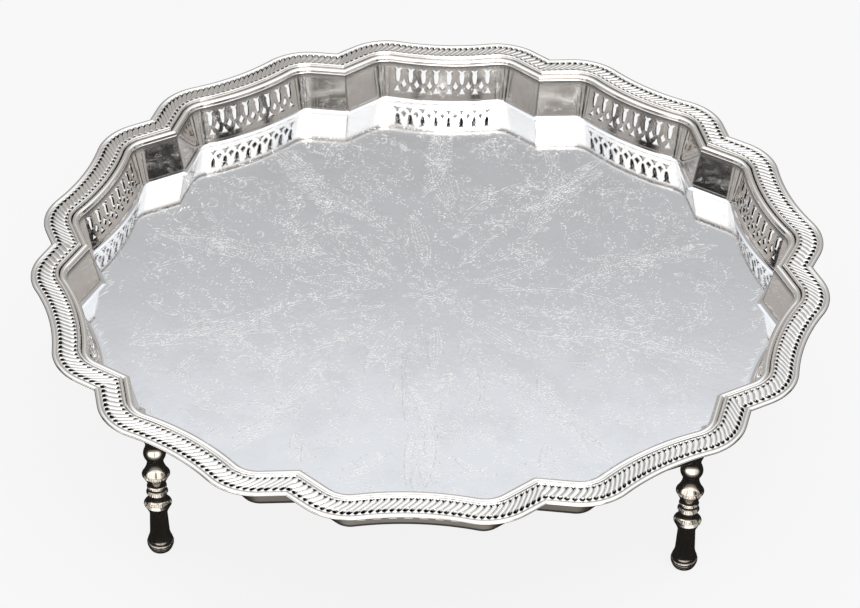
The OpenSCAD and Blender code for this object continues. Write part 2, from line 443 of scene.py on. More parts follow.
FLOOR_FINISH = MetalFinish(
    "floor silver", (0.90, 0.90, 0.92), (0.46, 0.44, 0.43), 0.06, 0.13,
    cloud_amount=0.10, scratch_scale=1500, wave_scale=16, wave_depth=0.00010, fine_amount=0.10)
CHASING_FINISH = MetalFinish(
    "chasing silver", (0.94, 0.93, 0.92), (0.35, 0.33, 0.31), 0.10, 0.22,
    cloud_amount=0.05, scratch_scale=2500, scratch_amount=0.2)
WALL_FINISH = MetalFinish(
    "wall silver", (0.92, 0.90, 0.87), (0.10, 0.085, 0.07), 0.08, 0.12,
    cloud_amount=0.05, scratch_scale=1300, wave_scale=24, wave_depth=0.00006, fine_amount=0.02)
BORDER_FINISH = MetalFinish(
    "border silver", (0.93, 0.91, 0.88), (0.012, 0.011, 0.010), 0.10, 0.22,
    cloud_scale=120, cloud_amount=0.04, scratch_scale=2000, scratch_amount=0.3)
MOULDING_FINISH = MetalFinish(
    "moulding silver", (0.93, 0.91, 0.88), (0.02, 0.018, 0.016), 0.06, 0.14,
    cloud_scale=80, cloud_amount=0.03, scratch_scale=1600, scratch_amount=0.3)
# The leg silver is darker than the other silver: painted shade, standing in for the dark surround that
# the turned legs mirror.
LEG_FINISH = MetalFinish(
    "leg silver", (0.80, 0.76, 0.69), (0.02, 0.018, 0.015), 0.07, 0.20,
    cloud_scale=150, cloud_amount=0.18, scratch_scale=1800, scratch_amount=0.5)
BRASS_FINISH = MetalFinish(
    "boss brass", (0.72, 0.52, 0.25), (0.18, 0.10, 0.04), 0.20, 0.40,
    cloud_scale=260, cloud_amount=0.5, scratch_scale=2200)
STEEL_FINISH = MetalFinish(
    "stud steel", (0.56, 0.57, 0.58), (0.10, 0.09, 0.08), 0.18, 0.38,
    cloud_scale=400, cloud_amount=0.35, scratch_scale=2600, anisotropy=0.3)
WASHER_FINISH = MetalFinish(
    "washer steel", (0.62, 0.63, 0.64), (0.14, 0.12, 0.10), 0.16, 0.32,
    cloud_scale=330, cloud_amount=0.25, scratch_scale=2600)


# ---------------------------------------------------------------- mesh


@dataclass
class Shell:
    """Points and faces of one piece while it is made, in mm, with how much painted shade darkens each
    point.
    """

    points: list[np.ndarray] = field(default_factory=list)
    hollows: list[np.ndarray] = field(default_factory=list)
    faces: list[tuple[int, ...]] = field(default_factory=list)
    count: int = 0

    def add(self, points: np.ndarray, faces: Iterable[Sequence[int]],
            hollow: np.ndarray | float = 0.0) -> int:
        """Adds points and the faces between them.

        Args:
            points: The points, one row each.
            faces: Faces that count from the first of these points.
            hollow: Painted shade on the points, from 0 to 1, one number or one each.

        Returns:
            The number of the first point.
        """
        first = self.count
        self.points.append(np.asarray(points, float).reshape(-1, 3))
        self.hollows.append(np.broadcast_to(hollow, (len(self.points[-1]),)).astype(float))
        self.faces.extend(tuple(int(i) + first for i in face) for face in faces)
        self.count += len(self.points[-1])
        return first

    def face(self, ring: Iterable[int], back: bool = False) -> None:
        """Adds one face over a ring of points.

        Args:
            ring: Numbers of the points, in order.
            back: Turns the face round.
        """
        self.faces.append(tuple(ring)[::-1 if back else 1])

    def close_ends(self, rows: int, columns: int) -> None:
        """Closes both ends of a shell that is one tube, its rings standing in its columns.

        Args:
            rows: Number of rows of the tube's sheet.
            columns: Number of its columns.
        """
        for column in (0, columns - 1):
            self.face(range(column, rows * columns, columns), back=column > 0)

    def grid(self, points: np.ndarray, hollow: np.ndarray | float = 0.0, wrap_rows: bool = False,
             wrap_columns: bool = False) -> int:
        """Adds a sheet of points, row by row, with a face between each four.

        Args:
            points: Array of rows, columns and x, y, z.
            hollow: Painted shade on the points, as one number or an array of rows and columns.
            wrap_rows: Joins the last row to the first.
            wrap_columns: Joins the last column to the first.

        Returns:
            The number of the first point.
        """
        rows, columns = points.shape[:2]
        j = np.arange(rows if wrap_rows else rows - 1)[:, None]
        i = np.arange(columns if wrap_columns else columns - 1)[None, :]
        a, b = j * columns, (j + 1) % rows * columns
        after = (i + 1) % columns
        quads = np.stack(np.broadcast_arrays(a + i, a + after, b + after, b + i), -1)
        level = np.broadcast_to(hollow, (rows, columns)).reshape(-1)
        return self.add(points.reshape(-1, 3), quads.reshape(-1, 4), level)

    def piece(self, name: str, finish: MetalFinish, sharp: float = 40.0) -> bpy.types.Object:
        """Makes the Blender object.

        Args:
            name: The piece's name.
            finish: Its finish.
            sharp: Edges that turn by more than this many degrees stay sharp.

        Returns:
            The new object, in metres.
        """
        mesh = bpy.data.meshes.new(name)
        mesh.from_pydata(np.concatenate(self.points) * MM, [], self.faces)
        hollow = mesh.attributes.new("hollow", "FLOAT", "POINT")
        hollow.data.foreach_set("value", np.concatenate(self.hollows).astype(np.float32))
        mesh.validate()
        mesh.update()
        mesh.shade_smooth()
        mesh.set_sharp_from_angle(angle=math.radians(sharp))
        mesh.materials.append(finish.build())
        made = bpy.data.objects.new(name, mesh)
        bpy.context.scene.collection.objects.link(made)
        return made


def settle(piece: bpy.types.Object, body: str, slot: Slot, *nodes: str) -> None:
    """Rides a piece on its body, in place of CAD nodes.

    Args:
        piece: The piece.
        body: The CAD body that it moves with.
        slot: The material slot of its finish; not used.
        nodes: CAD nodes that it stands for.
    """
    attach(piece, body)
    if nodes:
        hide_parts(*nodes)
    LOG.info("%s: %d faces on %s", piece.name, len(piece.data.polygons), body)


def turned(points: np.ndarray, degrees: float) -> np.ndarray:
    """Turns points about the salver's upright axis.

    Args:
        points: Array whose last axis is x, y, z.
        degrees: The angle, anticlockwise from above.

    Returns:
        The turned points.
    """
    c, s = math.cos(math.radians(degrees)), math.sin(math.radians(degrees))
    x, y = points[..., 0], points[..., 1]
    return np.stack([x * c - y * s, x * s + y * c, points[..., 2]], -1)


def spot(radius: float, degrees: float) -> Point:
    """Returns the place, x and y, at a radius and an angle from the axis."""
    return radius * math.cos(math.radians(degrees)), radius * math.sin(math.radians(degrees))


def around(radius: np.ndarray | float, angle: np.ndarray, height: np.ndarray | float) -> np.ndarray:
    """Places points about the salver's upright axis.

    Args:
        radius: Distance from the axis.
        angle: Angle in radians.
        height: Height above the table.

    Returns:
        The points, in an array whose last axis is x, y, z.
    """
    x, y = radius * np.cos(angle), radius * np.sin(angle)
    return np.stack(np.broadcast_arrays(x, y, height), -1)


def arc(centre: Point, radius: float, start: float, end: float, steps: int) -> list[Point]:
    """Points on an arc in a section.

    Args:
        centre: Distance in from the rim and height of the centre.
        radius: The radius.
        start: First angle in degrees.
        end: Last angle in degrees.
        steps: Number of steps between them.

    Returns:
        The points, as distance in from the rim and height.
    """
    angles = [math.radians(start + (end - start) * i / steps) for i in range(steps + 1)]
    return [(centre[0] + radius * math.cos(a), centre[1] + radius * math.sin(a)) for a in angles]


def lathe(shell: Shell, profile: Sequence[Point], centre: Point, segments: int = 96,
          hollow: Sequence[float] | float = 0.0, closed: bool = False) -> None:
    """Turns a profile about an upright axis.

    Args:
        shell: Where the points go.
        profile: Radius and height of each ring, from below upwards.
        centre: The axis, x and y.
        segments: Number of columns.
        hollow: Painted shade on the rings, one number or one each.
        closed: Joins the last ring to the first.
    """
    angle = np.linspace(0, 2 * math.pi, segments, endpoint=False)
    r, z = np.array(profile).T[:, :, None]
    grid = around(r, angle, z) + (*centre, 0)
    level = np.asarray(hollow, float).reshape(-1, 1)
    first = shell.grid(grid, level, wrap_rows=closed, wrap_columns=True)
    if closed:
        return
    for ring in (0, len(profile) - 1):
        start = first + ring * segments
        shell.face(range(start, start + segments), back=ring == 0)


# ---------------------------------------------------------------- plan


@dataclass(frozen=True)
class LobePlan:
    """Outline of the salver from above: ten lobes, each a scoop between two shoulders."""

    lobes: int = 10
    rim_mid_r: float = 197.0
    scoop_r: float = 116.0
    scoop_half_angle: float = 12.2
    shoulder_r: float = 31.0
    flank_angle: float = 40.7

    @property
    def lobe_angle(self) -> float:
        """Angle of one lobe in degrees."""
        return 360 / self.lobes

    @property
    def scoop_x(self) -> float:
        """Distance of the scoop's centre from the axis."""
        return self.rim_mid_r + self.scoop_r

    @property
    def shoulder(self) -> Point:
        """Centre of the shoulder, on the left of the lobe's middle."""
        reach, a = self.scoop_r + self.shoulder_r, math.radians(self.scoop_half_angle)
        return self.scoop_x - reach * math.cos(a), reach * math.sin(a)

    def cusp_r(self, inset: float) -> float:
        """Radius of the cusp of the outline that lies this far inside the rim."""
        a = math.radians(self.flank_angle)
        across = self.shoulder[0] * math.cos(a) + self.shoulder[1] * math.sin(a)
        return (across + self.shoulder_r - inset) / math.cos(a - math.pi / self.lobes)

    def radius(self, inset: np.ndarray | float, degrees: np.ndarray) -> np.ndarray:
        """Radius of an outline at given angles.

        Args:
            inset: Distance inside the rim's outer edge.
            degrees: Angles, with a lobe's middle at 0.

        Returns:
            The radii.
        """
        half = self.lobe_angle / 2
        a = np.radians(np.abs((degrees + half) % self.lobe_angle - half))
        cx, cy = self.shoulder
        r, rho = self.shoulder_r - inset, self.scoop_r + inset
        flank, low = math.radians(self.flank_angle), -math.radians(self.scoop_half_angle)
        past_flank = np.arctan2(cy + r * math.sin(flank), cx + r * math.cos(flank))
        past_scoop = np.arctan2(cy + r * math.sin(low), cx + r * math.cos(low))
        straight = (cx * math.cos(flank) + cy * math.sin(flank) + r) / np.cos(flank - a)
        near = cx * np.cos(a) + cy * np.sin(a)
        bulge = near + np.sqrt(np.maximum(r * r - cx * cx - cy * cy + near * near, 0))
        facing = self.scoop_x * np.cos(a)
        dip = facing - np.sqrt(np.maximum(rho * rho - self.scoop_x ** 2 + facing * facing, 0))
        return np.where(a > past_flank, straight, np.where(a > past_scoop, bulge, dip))

    def sweep(self, section: Sequence[Point], degrees: np.ndarray) -> np.ndarray:
        """Carries a section along the outline.

        Args:
            section: Distance inside the rim and height of each row.
            degrees: Angle of each column, with a lobe's middle at 0.

        Returns:
            Array of rows, columns and x, y, z.
        """
        inset, height = np.array(section).T[:, :, None]
        return around(self.radius(inset, degrees), np.radians(degrees), height)


@dataclass(frozen=True)
class WallLine:
    """Section of the pan: floor, cove and leaning wall, with heights above the table."""

    floor_z: float = 93.6
    sheet_t: float = 1.1
    cove_r: float = 3.0
    lean: float = 11.5
    top_x: float = 17.815
    top_z: float = 115.7

    @property
    def foot_x(self) -> float:
        """Distance in of the wall's inner side, carried down to the floor."""
        return self.top_x + (self.top_z - self.floor_z) * math.tan(math.radians(self.lean))

    @property
    def cove_x(self) -> float:
        """Distance in of the cove's centre."""
        return self.foot_x + self.cove_r * math.tan(math.radians((90 - self.lean) / 2))

    @property
    def slant(self) -> float:
        """Height of the wall along its lean."""
        return (self.top_z - self.floor_z) / math.cos(math.radians(self.lean))

    @property
    def cove_rise(self) -> float:
        """Height along the lean at which the cove ends."""
        lean = math.radians(self.lean)
        return (self.foot_x - (self.cove_x - self.cove_r * math.cos(lean))) / math.sin(lean)


PLAN = LobePlan()
WALL = WallLine()


# ---------------------------------------------------------------- floor


@dataclass(frozen=True)
class PanFloor:
    """Floor of the pan with its coved edge, as one sheet."""

    columns: int = 1200
    cove_steps: int = 8
    rings: tuple[float, ...] = (150.0, 110.0, 70.0, 40.0)
    flat_steps: tuple[float, ...] = (4.0, 0.6, 0.12)
    wall_foot_shade: Triple = (0.4, 0.9, 0.3)

    def build(self) -> None:
        """Makes the floor."""
        degrees, half = np.linspace(0, 360, self.columns, endpoint=False), PLAN.lobe_angle / 2
        centre = (WALL.cove_x, WALL.floor_z + WALL.cove_r)
        flat = [(WALL.cove_x + step, WALL.floor_z) for step in self.flat_steps]
        top = flat + arc(centre, WALL.cove_r, 270, 180 + WALL.lean, self.cove_steps)
        under = arc(centre, WALL.cove_r + WALL.sheet_t, 180 + WALL.lean, 270, self.cove_steps)
        level = np.zeros((len(top) + len(under), 1))
        # Painted shade where the floor's cove meets the foot of the wall.
        level[len(top) - 2: len(top) + 1, 0] = self.wall_foot_shade
        shell = Shell()
        first = shell.grid(turned(PLAN.sweep(top + under, degrees), half), level, wrap_columns=True)
        last = first + (len(level) - 1) * self.columns
        self._disc(shell, first, WALL.floor_z, degrees + half, faces_up=True)
        self._disc(shell, last, WALL.floor_z - WALL.sheet_t, degrees + half, faces_up=False)
        floor = shell.piece("pan_floor", FLOOR_FINISH, sharp=50)
        settle(floor, TRAY, Slot.CHASED, "floor_plate")

    def _disc(self, shell: Shell, start: int, height: float, degrees: np.ndarray,
              faces_up: bool) -> None:
        """Fills one side of the floor with flat rings.

        Args:
            shell: Where the points go.
            start: Number of the first point of the cove's flat edge.
            height: Height of this side.
            degrees: Angle of each column.
            faces_up: Whether the faces look up.
        """
        edge, n = start, self.columns
        for ring in self.rings:
            inner = shell.add(around(ring, np.radians(degrees), height), [])
            for i in range(n):
                after = (i + 1) % n
                shell.face((edge + i, edge + after, inner + after, inner + i), faces_up)
            edge = inner
        shell.face(range(edge, edge + n), faces_up)


# ---------------------------------------------------------------- chasing


@dataclass
class ChasedFloor:
    """Scrolls, leaves, flowers and flecks that are chased into the floor, as low ridges on it."""

    width: float = 0.46
    height: float = 0.07
    seed: int = 41
    struck: float = 0.72
    rings: tuple[tuple[float, int], ...] = (
        (58, 150), (82, 240), (99, 260), (113, 300), (127, 340), (150, 420))
    ring_spread: float = 2.2
    fringe: int = 900
    trails: int = 900
    trail_reach: float = 158.0
    trail_step: float = 1.7
    shell: Shell = field(default_factory=Shell)

    def __post_init__(self) -> None:
        """Starts the draws of chance that the hand's unevenness comes from."""
        self.chance = random.Random(self.seed)

    def stroke(self, line: np.ndarray, width: float | None = None,
               height: float | None = None) -> None:
        """Lays a ridge along a line, thin at both ends.

        Args:
            line: Points of the line, x and y.
            width: Width of the ridge at its middle.
            height: Height of the ridge at its middle.
        """
        width = width or self.width
        height = height or self.height
        n = len(line)
        ahead = np.gradient(line, axis=0)
        ahead /= np.maximum(np.linalg.norm(ahead, axis=1, keepdims=True), 1e-9)
        side = np.stack([-ahead[:, 1], ahead[:, 0]], -1)
        swell = np.clip(np.sin(np.pi * np.linspace(0.04, 0.96, n)) * 1.6, 0.25, 1.0)[:, None]
        half = side * swell * width / 2
        level = np.full((n, 1), WALL.floor_z - 0.01)
        crest = level + height * swell
        rows = np.stack([
            np.hstack([line - half, level]),
            np.hstack([line - half * 0.15, crest]),
            np.hstack([line + half * 0.15, crest]),
            np.hstack([line + half, level]),
        ])
        self.shell.grid(rows[::-1])

    def broken(self, line: np.ndarray, width: float | None = None) -> None:
        """Lays a line of short ridges, with gaps where the tool was lifted.

        Args:
            line: Points of the line, x and y.
            width: Width of the ridges.
        """
        at = 0
        while at < len(line) - 1:
            run = self.chance.randint(2, 4)
            part = line[at: at + run]
            if len(part) > 1 and self.chance.random() < self.struck:
                size = self.chance.uniform(0.7, 1.1) * (width or self.width)
                if len(part) == 2:
                    part = np.stack([part[0], part.mean(0), part[1]])
                self.stroke(part, size)
            at += run - 1 + (1 if self.chance.random() < 0.3 else 0)

    def inside(self, x: float, y: float, margin: float = 3.0) -> bool:
        """Whether a place lies on the flat of the floor, with a margin in mm."""
        a = math.degrees(math.atan2(y, x)) - PLAN.lobe_angle / 2
        return math.hypot(x, y) < float(PLAN.radius(WALL.cove_x + margin, np.array(a)))

    def scroll(self, at: Point, size: float, heading: float, hand: int,
               turns: float = 1.4) -> None:
        """Chases a spiral scroll with a bud at its eye.

        Args:
            at: Place of the eye.
            size: Radius of the spiral's outer end.
            heading: Direction of its outer end in degrees.
            hand: 1 or -1, the way that it winds.
            turns: Number of turns.
        """
        x, y = at
        t = np.linspace(0.12, 1, int(18 + 16 * turns))
        a = math.radians(heading) + hand * turns * 2 * math.pi * (1 - t)
        r = size * t ** 1.3
        line = np.stack([x + r * np.cos(a), y + r * np.sin(a)], -1)
        self.broken(line)
        for u in np.linspace(0.3, 1, int(size * 3)):
            i = int(u * (len(a) - 1))
            place = np.array([x + r[i] * 0.8 * math.cos(a[i]), y + r[i] * 0.8 * math.sin(a[i])])
            self.fleck(place, math.degrees(a[i]) + 40)

    def leaf(self, at: Point, length: float, width: float, heading: float,
             bend: float = 0.0) -> None:
        """Chases a pointed leaf: two sides, a rib and the flecks between them.

        Args:
            at: Place of its root.
            length: Length from root to tip.
            width: Width across the middle.
            heading: Direction of its tip in degrees.
            bend: How far the leaf bends to its left, as a share of its length.
        """
        x, y = at
        t = np.linspace(0, 1, max(8, int(length / 1.6)))
        c, s = math.cos(math.radians(heading)), math.sin(math.radians(heading))

        def across(share: np.ndarray | float, t: np.ndarray) -> np.ndarray:
            """Points a share of the half width to the left of the leaf's rib."""
            u = length * t
            v = share * width / 2 * np.sin(np.pi * t ** 0.85) + bend * length * t * t
            return np.stack([x + u * c - v * s, y + u * s + v * c], -1)

        for share in (-1.0, 1.0):
            self.broken(across(share, t))
        self.broken(across(0.0, t[: int(len(t) * 0.8)]), 0.3)
        rows = max(1, round(width / 2.3))
        for row in range(rows):
            share = 0.84 * ((row + 0.5) / rows * 2 - 1)
            for u in np.arange(0.08, 0.93, 1.5 / length):
                if self.chance.random() < 0.8:
                    place = across(share, np.array([u + self.chance.uniform(-0.01, 0.01)]))[0]
                    self.fleck(place, heading + 62 * (1 if share > 0 else -1))

    def fleck(self, place: np.ndarray, heading: float) -> None:
        """Strikes one short cut.

        Args:
            place: Its middle, x and y.
            heading: Its direction in degrees.
        """
        if not self.inside(*place, 1.0):
            return
        a = math.radians(heading + self.chance.uniform(-18, 18))
        half = self.chance.uniform(0.25, 0.62)
        step = np.array([math.cos(a), math.sin(a)]) * half
        width = self.chance.uniform(0.45, 0.85)
        height = self.height * self.chance.uniform(1.1, 1.9)
        self.stroke(np.stack([place - step, place, place + step]), width, height)

    def flower(self, at: Point, size: float, petals: int, turn: float) -> None:
        """Chases an open flower.

        Args:
            at: Its middle.
            size: Radius over its petals.
            petals: Number of petals.
            turn: Direction of its first petal in degrees.
        """
        x, y = at
        a = np.linspace(0, 2 * math.pi, 20)
        for r in (size * 0.16, size * 0.28):
            self.stroke(np.stack([x + r * np.cos(a), y + r * np.sin(a)], -1), 0.45)
        for k in range(petals):
            a = math.radians(turn + 360 * k / petals)
            root = (x + size * 0.3 * math.cos(a), y + size * 0.3 * math.sin(a))
            self.leaf(root, size * 0.7, size * 2.1 / petals, math.degrees(a))

    def bars(self, at: Point, heading: float, count: int, length: float) -> None:
        """Chases a small panel of parallel broken lines.

        Args:
            at: Its middle.
            heading: Direction of the lines in degrees.
            count: Number of lines.
            length: Their length.
        """
        a = math.radians(heading)
        along, over = np.array([math.cos(a), math.sin(a)]), np.array([-math.sin(a), math.cos(a)])
        for k in range(count):
            reach = length * (1 - 0.12 * k)
            for part in range(3):
                lo, hi = (part - 1.5) / 3 * reach, (part - 0.75) / 3 * reach
                middle = np.array(at) + over * (k - count / 2) * 1.9
                t = np.linspace(lo, hi, 4)[:, None]
                self.stroke(middle + along * t, 0.6)

    def stem(self, start: Point, heading: float, length: float, curl: float) -> None:
        """Chases a curving double stem with leaves along it and a scroll at its end.

        Args:
            start: Where it springs from.
            heading: Its first direction in degrees.
            length: Its length.
            curl: How far it has turned by its end, in degrees.
        """
        n = max(12, int(length / 2.4))
        t = np.linspace(0, 1, n)
        a = np.radians(heading + curl * t ** 1.4)
        step = length / (n - 1)
        line = np.cumsum(np.stack([np.cos(a), np.sin(a)], -1) * step, axis=0) + np.array(start)
        side = np.stack([-np.sin(a), np.cos(a)], -1) * 0.9
        self.broken(line + side)
        self.broken(line - side)
        hand = 1 if curl > 0 else -1
        for i in range(3, n - 2, 3):
            for way in (1, -1):
                if self.chance.random() < 0.75 and self.inside(*line[i], 12):
                    self.leaf(line[i] + side[i] * way, self.chance.uniform(6, 11),
                              self.chance.uniform(2.6, 4.2),
                              math.degrees(a[i]) + way * self.chance.uniform(32, 58), -0.1 * way)
        end = line[-1] + hand * 5.5 * np.array([-math.sin(a[-1]), math.cos(a[-1])])
        if self.inside(*end, 8):
            self.scroll(end, 5.5, math.degrees(a[-1]) - hand * 90, hand)

    def build(self) -> None:
        """Chases the whole floor."""
        self.flower((0, 0), 15, 8, 11)
        self._ring(21, 46, 1.3)
        for k in range(5):
            turn = 72 * k + 25
            self.leaf(spot(24, turn), 48, 12, turn, 0.10)
            self.leaf(spot(26, turn + 36), 38, 9, turn + 36, -0.12)
            self.stem(spot(32, turn + 17), turn + 14, 84, 70)
            self.stem(spot(32, turn + 54), turn + 58, 88, -64)
            self.flower(spot(72, turn + 36), 9, 7, turn)
        for k in range(10):
            turn = 36 * k + 18
            self.leaf(spot(70, turn - 9), 82, 15, turn + 22, -0.22)
            self.leaf(spot(84, turn + 6), 66, 11, turn - 24, 0.20)
            self.flower(spot(118, turn), 9 + 2 * (k % 2), 6 + k % 2 * 2, turn)
            self.leaf(spot(132, turn), 26, 8, turn)
            for way in (-1, 1):
                self.leaf(spot(128, turn + way * 7.5), 22, 6, turn + way * 34, 0.2 * way)
                self.scroll(spot(141, turn + way * 13), 5.5, turn + way * 60, way)
                self.scroll(spot(104, turn + way * 9), 4.5, turn - way * 40, -way)
            self.bars(spot(92, turn + 18), turn + 100 + 20 * (k % 3), 5, 10)
        for radius, count in self.rings:
            self._ring(radius, count, self.ring_spread)
        self._edge()
        self._scatter()
        floor = self.shell.piece("floor_chasing", CHASING_FINISH, sharp=60)
        settle(floor, TRAY, Slot.CHASED)

    def _edge(self) -> None:
        """Chases a fringe of short cuts round the floor's edge."""
        for i in range(self.fringe):
            a = 360 / self.fringe * i + self.chance.uniform(-0.1, 0.1)
            r = float(PLAN.radius(WALL.cove_x + 1.2, np.array(a - PLAN.lobe_angle / 2)))
            deep = 2.4 + 1.6 * math.sin(i * 0.9)
            t = np.linspace(r - deep, r, 4)
            b = np.radians(a + 0.7 * np.linspace(0, 1, 4) ** 2)
            if self.chance.random() < self.struck:
                self.stroke(np.stack([t * np.cos(b), t * np.sin(b)], -1), 0.5)

    def _ring(self, radius: float, count: int, spread: float) -> None:
        """Strikes a loose ring of flecks.

        Args:
            radius: Radius of the ring.
            count: Number of places round it.
            spread: How far the flecks stray from it.
        """
        for i in range(count):
            if self.chance.random() < 0.7:
                a = 360 * i / count
                place = np.array(spot(radius + self.chance.gauss(0, spread), a))
                self.fleck(place, a + self.chance.uniform(20, 70))

    def _scatter(self) -> None:
        """Strikes curling trails of flecks between the leaves."""
        for _ in range(self.trails):
            r, a = self.trail_reach * math.sqrt(self.chance.random()), self.chance.uniform(0, 360)
            at, lie = np.array(spot(r, a)), self.chance.uniform(0, 360)
            curl = self.chance.choice((-1, 1)) * self.chance.uniform(6, 22)
            for k in range(self.chance.randint(6, 16)):
                at = at + self.trail_step * np.array(spot(1.0, lie))
                lie += curl
                for _ in range(self.chance.randint(1, 2)):
                    stray = (self.chance.gauss(0, 0.8), self.chance.gauss(0, 0.8))
                    self.fleck(at + stray, lie + 60)


# ---------------------------------------------------------------- wall


@dataclass(frozen=True)
class Piercing:
    """Holes of one panel, drawn as along and up, in mm on the wall."""

    pins: int = 8
    pitch: float = 7.2
    pin_h: float = 9.2
    head_w: float = 4.4
    kite_h: float = 5.6
    kite_w: float = 3.3
    bell_h: float = 3.8
    bell_w: float = 4.4
    band_h: float = 14.7
    top_gap: float = 2.6
    kite_lift: float = 0.65

    def pin(self) -> np.ndarray:
        """Outline of a pin with a forked head, its top at height 0."""
        w, h = self.head_w / 2, self.pin_h
        half = [(0.0, -0.075 * h), (0.22 * w, -0.05 * h), (0.5 * w, -0.012 * h), (0.84 * w, 0.0),
                (1.0 * w, -0.03 * h), (0.99 * w, -0.08 * h), (0.80 * w, -0.155 * h),
                (0.58 * w, -0.22 * h), (0.52 * w, -0.27 * h), (0.60 * w, -0.34 * h),
                (0.66 * w, -0.42 * h), (0.62 * w, -0.54 * h), (0.53 * w, -0.72 * h),
                (0.42 * w, -0.90 * h), (0.30 * w, -0.965 * h), (0.12 * w, -1.0 * h)]
        return mirrored(half)

    def kite(self) -> np.ndarray:
        """Outline of a kite with a long upper point, its foot at height 0."""
        w, h = self.kite_w / 2, self.kite_h
        half = [(0.06 * w, 1.0 * h), (0.20 * w, 0.86 * h), (0.42 * w, 0.70 * h),
                (0.78 * w, 0.52 * h), (1.0 * w, 0.42 * h), (0.96 * w, 0.35 * h),
                (0.62 * w, 0.20 * h), (0.22 * w, 0.05 * h), (0.06 * w, 0.0)]
        return mirrored(half)

    def bell(self) -> np.ndarray:
        """Outline of a bell with hollow sides, its foot at height 0."""
        w, h = self.bell_w / 2, self.bell_h
        half = [(0.14 * w, 1.0 * h), (0.24 * w, 0.88 * h), (0.34 * w, 0.62 * h),
                (0.50 * w, 0.38 * h), (0.78 * w, 0.20 * h), (0.98 * w, 0.10 * h),
                (1.0 * w, 0.03 * h), (0.90 * w, 0.0)]
        return mirrored(half)

    def outlines(self, slant: float) -> list[np.ndarray]:
        """Lays the holes out on a panel.

        Args:
            slant: Height of the wall along its lean.

        Returns:
            The outlines, as distance along from the lobe's middle and up from the floor.
        """
        foot = slant - self.top_gap - self.band_h
        found = []
        for i in range(self.pins):
            along = (i - (self.pins - 1) / 2) * self.pitch
            found.append(self.pin() + (along, foot + self.band_h))
            found.append(self.bell() + (along, foot))
        for i in range(1, self.pins):
            along = (i - self.pins / 2) * self.pitch
            found.append(self.kite() + (along, foot + self.bell_h * self.kite_lift))
        return found


def mirrored(half: Sequence[Point]) -> np.ndarray:
    """Closes the right half of an outline with its mirror image.

    Args:
        half: Points of the right half, in order.

    Returns:
        The whole outline.
    """
    right = np.array(half, float)
    left = right[::-1] * (-1, 1)
    if abs(half[0][0]) < 1e-9:
        left = left[:-1]
    return np.concatenate([right, left])


def within(outline: np.ndarray, points: np.ndarray) -> np.ndarray:
    """Which points lie within an outline.

    Args:
        outline: Corners of the outline.
        points: The points, one row each.

    Returns:
        True for each point that lies within.
    """
    x, y = points[:, :1], points[:, 1:]
    ax, ay = outline[:, 0], outline[:, 1]
    bx, by = np.roll(ax, -1), np.roll(ay, -1)
    crosses = ((ay > y) != (by > y)) & (x < (bx - ax) * (y - ay) / (by - ay + 1e-12) + ax)
    return crosses.sum(1) % 2 == 1


def triangulate(points: Sequence[Point], loops: list[list[int]], holes: Sequence[np.ndarray]) -> tuple[
        np.ndarray, list[tuple[int, ...]], list[list[int]]]:
    """Fills a flat outline with triangles round its holes.

    Args:
        points: Corners of the loops, and points between them.
        loops: Numbers of the corners of each loop, the outline's first.
        holes: Outlines of the holes.

    Returns:
        The points, the triangles, and the loops by their new numbers.
    """
    links = [pair for loop in loops for pair in zip(loop, loop[1:] + loop[:1])]
    made = delaunay_2d_cdt([Vector(p) for p in points], links, [], 0, 1e-6)
    flat = np.array([tuple(v) for v in made[0]])
    number = {old: new for new, olds in enumerate(made[3]) for old in olds}
    tris = [tuple(f) for f in made[2]]
    middles = np.array([flat[list(t)].mean(0) for t in tris])
    solid = np.ones(len(tris), bool)
    for hole in holes:
        solid &= ~within(hole, middles)
    kept = [t for t, s in zip(tris, solid) if s]
    return flat, kept, [[number[i] for i in loop] for loop in loops]


